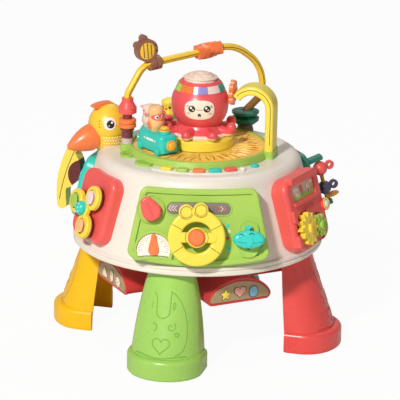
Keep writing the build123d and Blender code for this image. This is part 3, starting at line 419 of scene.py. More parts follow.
@dataclass(frozen=True)
class TwoTone(Moulding):
    """Two colours in one moulding, parted where the distance from a line in space passes a radius; on the
    handset the second is its red inner side, darkened with painted shade.
    """

    second: str = "#4A1A18"
    centre: tuple[float, ...] = (0.0, 0.0, 0.0)
    axis: tuple[float, ...] = (0.0, 0.0, 1.0)
    radius: float = 10.0

    def paint(self, tree: Tree, coords: Node) -> Socket:
        """Parts the two colours round the line.

        Args:
            tree: The material's node tree.
            coords: The texture coordinate node.

        Returns:
            The colour socket.
        """
        base = Moulding.paint(self, tree, coords)
        offset = node(
            tree, "ShaderNodeVectorMath", {1: [c * MM for c in self.centre]}, {0: coords.outputs["Object"]},
            operation="SUBTRACT",
        )
        ahead = node(
            tree, "ShaderNodeVectorMath", {1: self.axis}, {0: offset.outputs[0]}, operation="CROSS_PRODUCT"
        )
        far = node(tree, "ShaderNodeVectorMath", None, {0: ahead.outputs[0]}, operation="LENGTH")
        inside = node(
            tree, "ShaderNodeMath", {1: self.radius * MM}, {0: far.outputs[1]}, operation="LESS_THAN"
        )
        mixed = node(
            tree, "ShaderNodeMix", {7: linear(self.second)}, {0: inside.outputs[0], 6: base}, data_type="RGBA"
        )
        return mixed.outputs[2]


@dataclass(frozen=True)
class Banded(Moulding):
    """Moulding coloured in bands laid one over the other along an axis: a second shot of another colour, or
    painted shade where part of it sits in shadow.
    """

    bands: tuple[tuple[float, str], ...] = ()
    axis: tuple[float, ...] = (0.0, 0.0, 1.0)
    blur: float = 0.4

    def paint(self, tree: Tree, coords: Node) -> Socket:
        """Lays each band below its height over the colour so far, softened over a millimetre.

        Args:
            tree: The material's node tree.
            coords: The texture coordinate node.

        Returns:
            The colour socket.
        """
        colour = Moulding.paint(self, tree, coords)
        along = node(
            tree, "ShaderNodeVectorMath", {1: self.axis}, {0: coords.outputs["Object"]},
            operation="DOT_PRODUCT",
        )
        for height, shot in self.bands:
            low = node(
                tree, "ShaderNodeMapRange",
                {
                    "From Min": (height - self.blur) * MM, "From Max": (height + self.blur) * MM,
                    "To Min": 1.0, "To Max": 0.0,
                },
                {"Value": along.outputs[1]},
            )
            mixed = node(
                tree, "ShaderNodeMix", {7: linear(shot)}, {0: low.outputs[0], 6: colour}, data_type="RGBA"
            )
            colour = mixed.outputs[2]
        return colour


@dataclass(frozen=True)
class ShellCap(Moulding):
    """Soft pale cap with a moulded shell: low ridges that wind out from its top."""

    def relief(self, tree: Tree, coords: Node) -> Socket:
        """Raises wandering ridges about 5 mm apart.

        Args:
            tree: The material's node tree.
            coords: The texture coordinate node.

        Returns:
            The normal socket.
        """
        ridges = node(
            tree, "ShaderNodeTexWave",
            {"Scale": 1 / (RIDGE_MM * MM), "Distortion": 7.0, "Detail": 1.5, "Detail Scale": 1.2},
            {"Vector": coords.outputs["Object"]}, wave_type="RINGS", rings_direction="X",
        )
        raised = node(
            tree, "ShaderNodeBump", {"Strength": 0.9, "Distance": 0.0016}, {"Height": ridges.outputs[1]}
        )
        return raised.outputs[0]


class Finish(Enum):
    """Every finish on the table, named for its material and colour."""

    IVORY = Moulding("Ivory ABS, fine satin", "#F5EFE6", "#EDE5D9", 0.38)
    MEADOW = Moulding("Meadow green ABS", "#AFD65E", "#A2CB52")
    LEG_GREEN = Moulding("Leaf green polypropylene", "#A6DA66", "#98CC58", 0.30, 1.2, 0.05, 0.25)
    LEG_RED = Moulding("Red polypropylene", "#F0504C", "#DD423F", 0.30, 1.2, 0.05, 0.25)
    LEG_YELLOW = Moulding("Amber polypropylene", "#FFCA00", "#F7BA00", 0.36, 1.2, 0.05, 0.0)
    LEG_TEAL = Moulding("Teal polypropylene", "#2FAF97", "#258D7A", 0.30, 1.2, 0.05, 0.25)
    # Darker copies of the leg colours: painted shade for the engraved line work on the legs.
    SHADED_LINE_GREEN = Moulding("Leaf green polypropylene, line work", "#86BE4A", "#78AE3E", 0.42, 1.2)
    SHADED_LINE_RED = Moulding("Red polypropylene, line work in painted shade", "#CC3A38", "#BB302F", 0.42, 1.2)
    SHADED_LINE_YELLOW = Moulding("Amber polypropylene, line work in painted shade", "#E0A410", "#D09508", 0.42, 1.2)
    SHADED_LINE_TEAL = Moulding("Teal polypropylene, line work in painted shade", "#22897A", "#1B7568", 0.42, 1.2)
    HUB_RED = Moulding("Crimson ABS", "#D93A3A", "#C62F30", 0.42, 1.2)
    CORAL = Moulding("Coral ABS", "#F7625D", "#EC534F")
    DRUM_CORAL = Moulding("Rosy coral ABS", "#F05C62", "#E54F56", 0.33)
    SUN = Moulding("Sun yellow ABS", "#FFEA54", "#FBE042", 0.32)
    BIRD = Moulding("Canary ABS", "#FFD640", "#F7C52C", 0.33)
    # The oxblood belly is the handset's red inner side, darkened with painted shade for the shadow it sits
    # in.
    HANDSET = TwoTone(
        "Warm yellow ABS with red belly in painted shade", "#FFE65E", "#FBD848", 0.34, second="#641A1C",
        centre=tuple(PHONE_FACE.at(0, 4, 4).origin), axis=tuple(PHONE_FACE.across), radius=21.0,
    )
    AMBER = Moulding("Amber ABS", "#FFC63E", "#F7B52C", 0.33)
    CARD = Moulding("Printed white card", "#FFFAF2", "#F8EFE4", 0.5, 1.2, 0.08, 0.0)
    TICK = Moulding("Brown print", "#A8705C", "#96604E", 0.5)
    DEEP_SEA = Moulding("Sea blue ABS in shade", "#1FA89E", "#189489", 0.35)
    PANE = Moulding("Printed beige film", "#E2D6BA", "#D6C8A8", 0.42)
    ROUGE = Moulding("Coral ABS in shade", "#D94A48", "#C93F3E", 0.4)
    LEAF = Moulding("Leaf green ABS", "#86B63F", "#79A836", 0.38)
    SKY = Moulding("Sky blue print", "#8CCBEA", "#7CBFE0", 0.42)
    INKED = Moulding("Dark brown print", "#4A3430", "#3E2A27", 0.5)
    STRAW_LINE = Moulding("Straw ABS, light strand", "#FFE07A", "#FFD05A", 0.45)
    STRAW_SHADE = Moulding("Straw ABS, dark strand", "#D08A1E", "#BE7812", 0.45)
    ORANGE = Moulding("Orange ABS", "#FF884A", "#F97A3A", 0.33)
    TEAL = Moulding("Turquoise ABS", "#2ED7C9", "#24C7B9", 0.33)
    SEA = Moulding("Sea blue ABS", "#3BDDD2", "#2ECFC4", 0.3)
    DEEP_TEAL = Moulding("Deep green ABS", "#1F7D68", "#196A58", 0.4)
    BLUSH = Moulding("Blush ABS", "#FCE6DB", "#F6D8CA", 0.36)
    CREAM = Moulding("Cream ABS", "#FFF1DE", "#FBE6CF", 0.42)
    WHITE = Moulding("White ABS", "#FFFDF8", "#F7F2EA", 0.3)
    INK = Moulding("Black pad print", "#241C1C", "#181212", 0.28)
    ROSE = Moulding("Rose pad print", "#F9B3A8", "#F2A096", 0.45)
    BROWN = Moulding("Cocoa ABS", "#9B6654", "#8C5946", 0.4)
    BARK = Moulding("Bark brown ABS", "#8A5A14", "#7A4C0C", 0.42)
    MAROON = Moulding("Maroon ABS", "#6E2B30", "#5C2226", 0.42)
    NAVY = Moulding("Slate navy ABS", "#4C4560", "#413A54", 0.36)
    GOLD = Moulding("Ochre ABS", "#C98A22", "#B97A16", 0.36)
    TAN = Moulding("Printed card, kraft tan", "#B59C78", "#A98E6A", 0.55, 1.4, 0.12, 0.0)
    SLATE = Moulding("Grey ABS", "#8D7E80", "#807173", 0.42)
    PEACH = Moulding("Peach ABS", "#FFC98A", "#F9BB78", 0.36)
    LINE = Moulding("Dark seam", "#8A6412", "#76530C", 0.5)
    BOARD = Moulding("Solder mask green", "#2E6B45", "#27603C", 0.35)
    CAN = Moulding("Drawn steel can", "#B9BCC0", "#A9ACB0", 0.3)
    WINDOWS = WindowBand("Five-colour window ABS", "#FFFFFF", "#F0F0F0", 0.22)
    STRAW = StrawDisc("Straw-textured ABS", "#FFE068", "#F2B238", 0.45)
    SKIRT = Banded("Rosy coral ABS over blush", "#F05C62", "#E54F56", 0.33, bands=((271.6, "#FDE7DA"),))
    # The oxblood band on the spinner's back rim, next to the panel, is painted shade cast on the red panel.
    PETALS_SHADED_BACK = Banded(
        "Sun yellow ABS, painted shade on its back rim", "#FFE64C", "#FADA3A", 0.32, axis=tuple(FLOWER_FACE.out),
        bands=((FLOWER_FACE.origin.dot(FLOWER_FACE.out) + 6.2, "#6A1C1E"),),
    )
    # Below the socket the coral post is painted maroon and its white foot pale lilac, as painted shade where
    # the post stands in shadow.
    POST_SHADED = Banded(
        "Coral ABS, painted shade down the post", "#F7625D", "#EC534F", bands=((291.0, "#7A333A"), (261.0, "#DCC3C6"))
    )
    # A darker copy of the cap's blush: painted shade along the raised ridges.
    CAP_RIDGE_SHADED = Moulding("Blush silicone, ridge in painted shade", "#F0C9B4", "#E9BEA6", 0.5)
    CAP = ShellCap("Blush silicone, shell relief", "#FCE3D4", "#F3CFBC", 0.5)

    def material(self) -> bpy.types.Material:
        """Gives the finish as a material."""
        return self.value.material()


def start_clean() -> None:
    """Leaves edit mode and deselects everything."""
    if bpy.context.mode != "OBJECT":
        bpy.ops.object.mode_set(mode="OBJECT")
    bpy.ops.object.select_all(action="DESELECT")


def pick_faces(piece: Piece, test: Callable[[Vector, Vector], bool]) -> None:
    """Opens a piece for editing with only some faces selected.

    Args:
        piece: The active mesh object.
        test: Takes a face's centre and normal and says whether it is wanted.
    """
    if bpy.context.mode != "OBJECT":
        bpy.ops.object.mode_set(mode="OBJECT")
    bpy.context.tool_settings.mesh_select_mode = (False, False, True)
    for vertex in piece.data.vertices:
        vertex.select = False
    for edge in piece.data.edges:
        edge.select = False
    for face in piece.data.polygons:
        face.select = test(face.center, face.normal)
    bpy.ops.object.mode_set(mode="EDIT")


def apply_modifier(piece: Piece, kind: str, **settings: object) -> None:
    """Adds one modifier to the active piece and applies it.

    Args:
        piece: The active object.
        kind: The modifier's type name.
        settings: Its properties.
    """
    added = piece.modifiers.new(kind.title(), kind)
    for key, value in settings.items():
        setattr(added, key, value)
    bpy.context.view_layer.objects.active = piece
    bpy.ops.object.modifier_apply(modifier=added.name)


def place(piece: Piece, seat: Seat) -> Piece:
    """Moves a piece modelled at the origin on to a seat."""
    piece.matrix_world = seat.matrix() @ piece.matrix_world
    return piece


def settle(made: Piece | list[Piece], name: str, finish: Finish, body: Body) -> None:
    """Finishes a piece: place in its mesh, smooth shading, material and the body it rides on.

    Args:
        made: The modelled object, or a list to join into one.
        name: Its name.
        finish: Its finish.
        body: The body that carries it.
    """
    piece = joined(made) if isinstance(made, list) else made
    start_clean()
    bpy.context.view_layer.update()
    piece.data.transform(piece.matrix_world)
    piece.matrix_world = Matrix.Identity(4)
    piece.name = name
    piece.data.name = name
    piece.select_set(True)
    bpy.context.view_layer.objects.active = piece
    bpy.ops.object.shade_smooth_by_angle(angle=SHARP_EDGE)
    piece.data.materials.clear()
    piece.data.materials.append(finish.material())
    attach(piece, body.value)
    piece.select_set(False)
    LOG.info("%s rides on %s", name, body.value)


def puck(radius: float, height: float, edge: float, sides: int = 48, squash: float = 1.0) -> Piece:
    """Models a round plate with a rolled top edge, standing on the origin.

    Args:
        radius: Its radius in millimetres.
        height: Its height.
        edge: The roll of its top edge.
        sides: Facets round it.
        squash: Its second radius as a share of the first.

    Returns:
        The mesh object.
    """
    start_clean()
    bpy.ops.mesh.primitive_cylinder_add(
        vertices=sides, radius=radius * MM, depth=height * MM, location=(0, 0, height * MM / 2)
    )
    piece = bpy.context.object
    pick_faces(piece, lambda centre, normal: normal.z > 0.9)
    bpy.ops.mesh.bevel(offset=edge * MM, segments=4, affect="EDGES")
    bpy.ops.mesh.select_all(action="SELECT")
    bpy.ops.transform.resize(value=(1, squash, 1))
    start_clean()
    return piece


def dome(radius: float, height: float, sides: int = 32, squash: float = 1.0) -> Piece:
    """Models a low dome standing on the origin.

    Args:
        radius: Its radius in millimetres.
        height: Its height.
        sides: Facets round it.
        squash: Its second radius as a share of the first.

    Returns:
        The mesh object.
    """
    start_clean()
    bpy.ops.mesh.primitive_uv_sphere_add(segments=sides, ring_count=max(8, sides // 2), radius=radius * MM)
    piece = bpy.context.object
    bpy.ops.object.mode_set(mode="EDIT")
    bpy.ops.mesh.select_all(action="SELECT")
    bpy.ops.mesh.bisect(plane_co=(0, 0, 0), plane_no=(0, 0, 1), clear_inner=True, use_fill=True)
    bpy.ops.mesh.select_all(action="SELECT")
    bpy.ops.transform.resize(value=(1, squash, height / radius))
    start_clean()
    return piece


def plate(outline: Sequence[Point], height: float, edge: float = 0.3, rings: int = 0) -> Piece:
    """Models a flat plate from an outline, its face inset in rings so that it can follow a curve.

    Args:
        outline: Corner points in millimetres, counter-clockwise.
        height: Its thickness.
        edge: The roll of its top edge.
        rings: Inset rings added to its face.

    Returns:
        The mesh object.
    """
    start_clean()
    bpy.ops.mesh.primitive_circle_add(vertices=len(outline), radius=1, fill_type="NGON")
    piece = bpy.context.object
    for vertex, (u, v) in zip(piece.data.vertices, outline):
        vertex.co = (u * MM, v * MM, 0)
    size = min(
        max(p[0] for p in outline) - min(p[0] for p in outline),
        max(p[1] for p in outline) - min(p[1] for p in outline),
    )
    bpy.context.tool_settings.mesh_select_mode = (False, False, True)
    bpy.ops.object.mode_set(mode="EDIT")
    bpy.ops.mesh.select_all(action="SELECT")
    bpy.ops.mesh.normals_make_consistent(inside=False)
    if rings:
        for _ in range(rings):
            bpy.ops.mesh.inset(thickness=size * MM / (2.4 * (rings + 1)), depth=0)
        start_clean()
        bpy.context.view_layer.objects.active = piece
        return piece
    bpy.ops.mesh.extrude_region_move(TRANSFORM_OT_translate={"value": (0, 0, height * MM)})
    if edge:
        bpy.ops.mesh.bevel(offset=edge * MM, segments=2, affect="EDGES")
    bpy.ops.mesh.select_all(action="SELECT")
    bpy.ops.mesh.normals_make_consistent(inside=False)
    start_clean()
    bpy.context.view_layer.objects.active = piece
    return piece


def rounded(
    width: float, height: float, power: float = 4.0, count: int = 56, centre: Point = (0.0, 0.0)
) -> list[Point]:
    """Gives a rounded outline between an ellipse and a box.

    Args:
        width: Full width.
        height: Full height.
        power: 2 is an ellipse; higher is boxier.
        count: Number of points.
        centre: Middle of the outline.

    Returns:
        The points, counter-clockwise.
    """
    points = []
    for k in range(count):
        c, s = math.cos(2 * math.pi * k / count), math.sin(2 * math.pi * k / count)
        points.append((
            centre[0] + math.copysign(abs(c) ** (2 / power), c) * width / 2,
            centre[1] + math.copysign(abs(s) ** (2 / power), s) * height / 2,
        ))
    return points


def wrap(
    outline: Sequence[Point], seat: Seat, carrier: Piece, thickness: float, rings: int = 4,
    lift: float = 0.0,
) -> Piece:
    """Models a thin skin that follows the surface behind a seat.

    Args:
        outline: Its outline on the seat in millimetres.
        seat: A seat in front of the surface, facing away from it.
        carrier: The object whose surface it follows.
        thickness: Its thickness above the surface.
        rings: Rings in its face.
        lift: Gap under it, for a skin laid over another.

    Returns:
        The mesh object.
    """
    piece = plate(outline, 0.0, rings=max(1, rings))
    piece.select_set(True)
    apply_modifier(piece, "SUBSURF", subdivision_type="SIMPLE", levels=1, render_levels=1)
    place(piece, seat.at(0, 0, CAST))
    bpy.context.view_layer.update()
    apply_modifier(
        piece, "SHRINKWRAP", target=carrier, wrap_method="PROJECT", use_project_z=True,
        use_negative_direction=True, use_positive_direction=False, offset=(lift - SKIN_SINK) * MM,
    )
    apply_modifier(piece, "SOLIDIFY", thickness=(thickness + SKIN_SINK) * MM, offset=1.0)
    apply_modifier(
        piece, "BEVEL", width=0.25 * MM, segments=2, limit_method="ANGLE", angle_limit=math.radians(50)
    )
    return piece


def line_on(
    points: Sequence[Point], seat: Seat, carrier: Piece, radius: float, closed: bool = False,
    sink: float = 0.4,
) -> Piece:
    """Models a raised line that follows the surface behind a seat.

    Args:
        points: Its route on the seat in millimetres.
        seat: A seat in front of the surface.
        carrier: The object whose surface it follows.
        radius: Its radius.
        closed: Whether it joins its start.
        sink: Share of the radius that lies under the surface.

    Returns:
        The mesh object.
    """
    found = []
    for u, v in points:
        hit, where, normal, _ = carrier.ray_cast(seat.point(u, v, CAST), -seat.out)
        if hit:
            found.append(where - normal * radius * sink * MM)
    return line_through(found, radius, closed)


def line_through(points: Sequence[Vector], radius: float, closed: bool = False) -> Piece:
    """Models a round line through points in metres.

    Args:
        points: The route.
        radius: Its radius in millimetres.
        closed: Whether it joins its start.

    Returns:
        The mesh object.
    """
    start_clean()
    curve = bpy.data.curves.new("route", "CURVE")
    curve.dimensions = "3D"
    curve.bevel_depth = radius * MM
    curve.bevel_resolution = 2
    curve.use_fill_caps = True
    spline = curve.splines.new("POLY")
    spline.points.add(len(points) - 1)
    for place_at, point in zip(spline.points, points):
        place_at.co = (*point, 1.0)
    spline.use_cyclic_u = closed
    piece = bpy.data.objects.new("route", curve)
    bpy.context.scene.collection.objects.link(piece)
    piece.select_set(True)
    bpy.context.view_layer.objects.active = piece
    bpy.ops.object.convert(target="MESH")
    return bpy.context.object


def polar(reach: float, degrees: float, centre: Point = (0.0, 0.0)) -> Point:
    """Gives the point at a reach and an angle from the right."""
    angle = math.radians(degrees)
    return centre[0] + reach * math.cos(angle), centre[1] + reach * math.sin(angle)


def arc(centre: Point, radius: float, start: float, end: float, count: int = 16) -> list[Point]:
    """Gives points on an arc, angles in degrees from the right."""
    return [polar(radius, start + (end - start) * k / (count - 1), centre) for k in range(count)]


def joined(pieces: Sequence[Piece]) -> Piece:
    """Joins pieces into the first of them.

    Args:
        pieces: The pieces to join.

    Returns:
        The one piece that is left.
    """
    start_clean()
    for piece in pieces:
        piece.select_set(True)
    bpy.context.view_layer.objects.active = pieces[0]
    bpy.ops.object.join()
    return bpy.context.object


def copies(model: Piece, seats: Sequence[Seat]) -> Piece:
    """Copies a small model on to seats and joins the copies.

    Args:
        model: A piece modelled at the origin, used up by this.
        seats: Where the copies go.

    Returns:
        One object that holds all the copies.
    """
    made = []
    for seat in seats:
        copy = model.copy()
        copy.data = model.data.copy()
        bpy.context.scene.collection.objects.link(copy)
        copy.matrix_world = seat.matrix()
        bpy.context.view_layer.update()
        copy.data.transform(copy.matrix_world)
        copy.matrix_world = Matrix.Identity(4)
        made.append(copy)
    bpy.data.objects.remove(model)
    return joined(made)


@dataclass
class Mouldings:
    """The CAD nodes and the finish that each one carries."""

    nodes: Nodes

    def dress(self) -> None:
        """Gives every node its material."""
        finishes: dict[Finish, tuple[str, ...]] = {
            Finish.IVORY: ("upper_shell", "base_tray", "button_white"),
            Finish.HUB_RED: ("hub", "battery_door"),
            Finish.TAN: ("sign_plates",),
            Finish.LEG_GREEN: ("leg_front",),
            Finish.LEG_RED: ("leg_right",),
            Finish.LEG_TEAL: ("leg_back",),
            Finish.LEG_YELLOW: ("leg_left",),
            Finish.MEADOW: ("top_ring", "dash_panel", "key_green", "gear_green"),
            Finish.SUN: ("pedestal", "tunnel_arch", "key_yellow", "steering_wheel", "gear_yellow", "chick"),
            Finish.PETALS_SHADED_BACK: ("spinner",),
            Finish.SKIRT: ("octopus_skirt",),
            Finish.DRUM_CORAL: ("octopus_head",),
            Finish.WINDOWS: ("octopus_windows",),
            Finish.CAP: ("drum_cap",),
            Finish.CORAL: ("spinner_panel", "bus_panel", "key_red", "key_knob", "bead_red"),
            Finish.POST_SHADED: ("left_post",),
            Finish.BARK: ("right_trunk",),
            Finish.TEAL: ("phone_panel", "train", "key_teal", "button_teal", "spinner_hub"),
            Finish.DEEP_TEAL: ("trunk_rings", "bead_panel"),
            Finish.SEA: ("whale_lever",),
            Finish.GOLD: ("bead_rod",),
            Finish.BIRD: ("bird_neck", "bird_head", "handle_bar"),
            Finish.ORANGE: (
                "bird_beak", "key_orange", "horn_button", "gauge_pointer", "post_rings", "twist_bead",
                "paddle",
            ),
            Finish.PEACH: ("hen",),
            Finish.BLUSH: ("pig",),
            Finish.BROWN: ("bee_bead",),
            Finish.HANDSET: ("handset",),
            Finish.NAVY: ("bead_navy",),
            Finish.BOARD: ("circuit_board",),
            Finish.CAN: ("battery_cells",),
            Finish.SLATE: ("speaker",),
            Finish.STRAW: ("turntable",),
        }
        for finish, names in finishes.items():
            for name in names:
                shown = self.nodes[name]
                shown.data.materials.clear()
                shown.data.materials.append(finish.material())
        LOG.info("dressed %d nodes", sum(len(names) for names in finishes.values()))


def upright_seat(x: float, y: float, z: float, turn: float) -> Seat:
    """Gives an upright seat that faces out at a turn from the front."""
    way = outward(turn)
    return Seat(Vector((x, y, z)), Vector((-way.y, way.x, 0.0)), Vector((0, 0, 1)), way)


def touch(seat: Seat, carrier: Piece, u: float, v: float) -> Seat:
    """Finds the seat on the surface behind a point of another seat.

    Args:
        seat: A seat near the surface, facing away from it.
        carrier: The object that has the surface.
        u: Place across the seat.
        v: Place along the seat.

    Returns:
        A seat on the surface, its normal the surface's own.
    """
    hit, where, normal, _ = carrier.ray_cast(seat.point(u, v, CAST), -seat.out)
    if not hit:
        return seat.at(u, v)
    across = (seat.across - normal * seat.across.dot(normal)).normalized()
    return Seat(where / MM, across, normal.cross(across), normal)


def stadium(width: float, height: float, count: int = 14) -> list[Point]:
    """Gives a slot's outline: two straight sides and two round ends."""
    reach = (width - height) / 2
    return arc((reach, 0), height / 2, -90, 90, count) + arc((-reach, 0), height / 2, 90, 270, count)


def star(points: int, outer: float, inner: float, centre: Point = (0.0, 0.0)) -> list[Point]:
    """Gives a star's outline, or a flower's when its inner reach is long."""
    return [polar(inner if k % 2 else outer, 90 + 180 * k / points, centre) for k in range(points * 2)]


def heart(size: float, centre: Point, count: int = 40) -> list[Point]:
    """Gives a heart's outline.

    Args:
        size: Its size in millimetres.
        centre: Its middle.
        count: Points round it.

    Returns:
        Its points.
    """
    points = []
    for k in range(count):
        t = 2 * math.pi * k / count
        u = 16 * math.sin(t) ** 3
        v = 13 * math.cos(t) - 5 * math.cos(2 * t) - 2 * math.cos(3 * t) - math.cos(4 * t)
        points.append((centre[0] - u * size / 32, centre[1] + (v + 2) * size / 32))
    return points


def on_seat(seat: Seat, points: Sequence[Point], n: float) -> list[Vector]:
    """Gives points of a seat, all at one height, in metres."""
    return [seat.point(u, v, n) for u, v in points]


def bent(points: Sequence[Point], bends: Sequence[float]) -> list[Point]:
    """Rounds the corners of a moulded bar's centre line.

    Args:
        points: Its corners in its own plane.
        bends: The bend radius at each inner corner.

    Returns:
        Points along the runs and bends.
    """
    route = [Vector(points[0])]
    for i, radius in enumerate(bends, start=1):
        here = Vector(points[i])
        back = (Vector(points[i - 1]) - here).normalized()
        ahead = (Vector(points[i + 1]) - here).normalized()
        half = back.angle(ahead) / 2
        middle = here + (back + ahead).normalized() * radius / math.sin(half)
        start = here + back * radius / math.tan(half) - middle
        end = here + ahead * radius / math.tan(half) - middle
        for k in range(15):
            way = start.lerp(end, k / 14).normalized()
            route.append(middle + way * radius)
    route.append(Vector(points[-1]))
    return [(p.x, p.y) for p in route]


@dataclass
class OctopusTrim:
    """The drum's face and the moulded shell on its cap."""

    nodes: Nodes
    face: Point = (36.5, 24.5)
    eye_at: float = 9.5
    eye_r: float = 4.3
    face_z: float = 306.2

    def build(self) -> None:
        """Builds the face and the shell."""
        self.face_print()
        self.cap_shell()

    def face_print(self) -> None:
        """Lays the face on the drum: cream field, eyes, cheeks and an open mouth."""
        head = self.nodes["octopus_head"]
        seat = upright_seat(0, 0, self.face_z, -1)
        field = wrap(rounded(*self.face, 2.9), seat, head, 0.55, 6)
        settle(field, "octopus_face", Finish.CREAM, Body.TABLE)
        sides = (-1, 1)
        wide = 2 * self.eye_r
        dark = [
            wrap(rounded(wide, wide, 2, 28, (s * self.eye_at, 1.6)), seat, head, 0.35, 2, 0.55) for s in sides
        ]
        dark.append(wrap(rounded(4.4, 4.8, 2, 24, (0, -6.6)), seat, head, 0.3, 2, 0.55))
        for u in (-2.6, 0.0, 2.6):
            dark.append(wrap(rounded(1.5, 0.7, 2, 10, (u, 0.4)), seat, head, 0.3, 0, 0.55))
        for s in sides:
            for k in (0, 1):
                tip = [(s * (13.2 + k), 4.6 - 1.5 * k), (s * (15.2 + k), 5.8 - 1.4 * k)]
                dark.append(line_on(tip, seat, head, 0.4, sink=-1.2))
        settle(dark, "octopus_eyes_and_mouth", Finish.INK, Body.TABLE)
        glints = []
        for s in sides:
            for width, height, count, u, v in ((2.9, 3.1, 16, -1.1, 2.9), (2.0, 1.8, 12, 1.5, 0.3)):
                shine = rounded(width, height, 2, count, (s * self.eye_at + u, v))
                glints.append(wrap(shine, seat, head, 0.2, 0, 0.9))
        settle(glints, "octopus_eye_glints", Finish.WHITE, Body.TABLE)
        cheeks = [wrap(rounded(5.0, 2.8, 2, 20, (s * 13.6, -4.6)), seat, head, 0.22, 2, 0.55) for s in sides]
        cheeks.append(wrap(rounded(2.2, 1.5, 2, 14, (0, -7.7)), seat, head, 0.2, 0, 0.85))
        settle(cheeks, "octopus_cheeks_and_tongue", Finish.ROSE, Body.TABLE)

    def cap_shell(self) -> None:
        """Raises the shell's ridges on the cap: a winding from the top and ribs to its edge, coloured a
        darker blush as painted shade along them.
        """
        cap = self.nodes["drum_cap"]
        seat = level_seat(0, 0, 340)
        winding = [polar(2.0 + 15.5 * k / 43, -70 + 15.5 * k) for k in range(44)]
        ridges = [line_on(winding, seat, cap, 0.85)]
        for k in range(9):
            ridges.append(line_on([polar(r, 40 * k + 2.2 * r) for r in range(10, 21)], seat, cap, 0.6))
        settle(ridges, "cap_shell_ridges", Finish.CAP_RIDGE_SHADED, Body.CAP)


@dataclass
class BirdTrim:
    """Eyes, freckles and breast dots of the bird."""

    nodes: Nodes
    x: float = -117.5
    y: float = 27.0
    beak_turn: float = -62.0
    eye_off: float = 70.5
    eye_z: float = 275.2
    white_r: float = 7.9
    pupil_r: float = 5.0

    def build(self) -> None:
        """Builds both sides of the head and the dots of the breast."""
        head = self.nodes["bird_head"]
        whites, pupils, glints, freckles = [], [], [], []
        for side in (-1, 1):
            seat = upright_seat(self.x, self.y, self.eye_z, self.beak_turn + side * self.eye_off)
            whites.append(wrap(rounded(2 * self.white_r, 2 * self.white_r, 2, 40), seat, head, 0.7, 4))
            pupil = rounded(2 * self.pupil_r, 2 * self.pupil_r, 2, 32, (side * 0.6, -0.2))
            pupils.append(wrap(pupil, seat, head, 0.5, 3, 0.7))
            for size, count, u, v in ((2.8, 16, 1.9, 1.9), (1.6, 12, -1.8, -2.0)):
                shine = rounded(size, size, 2, count, (side * 0.6 + u, v))
                glints.append(wrap(shine, seat, head, 0.25, 0, 1.2))
            spots = upright_seat(self.x, self.y, self.eye_z, self.beak_turn + side * (self.eye_off - 34))
            for v in (3.0, -0.8, -4.4):
                freckles.append(touch(spots, head, side * (0.4 - 0.1 * v), v))
        settle(whites, "bird_eye_whites", Finish.WHITE, Body.BIRD)
        settle(pupils, "bird_pupils", Finish.INK, Body.BIRD)
        settle(glints, "bird_eye_glints", Finish.WHITE, Body.BIRD)
        settle(copies(dome(0.85, 0.4, 12), freckles), "bird_freckles", Finish.BROWN, Body.BIRD)
        self.breast()

    def breast(self) -> None:
        """Sets staggered rows of raised pale dots on both sides of the breast."""
        neck = self.nodes["bird_neck"]
        seats = []
        for side in (-1, 1):
            for row, z in enumerate((256.6, 252.6, 248.6, 244.6, 240.8)):
                for k in range(10 - row):
                    off = 52 + 4.5 * (row % 2) + 9.0 * k
                    seat = upright_seat(self.x, self.y, z, self.beak_turn + side * off)
                    seats.append(touch(seat, neck, 0, 0))
        settle(copies(dome(1.05, 0.55, 12), seats), "bird_breast_dots", Finish.CREAM, Body.TABLE)


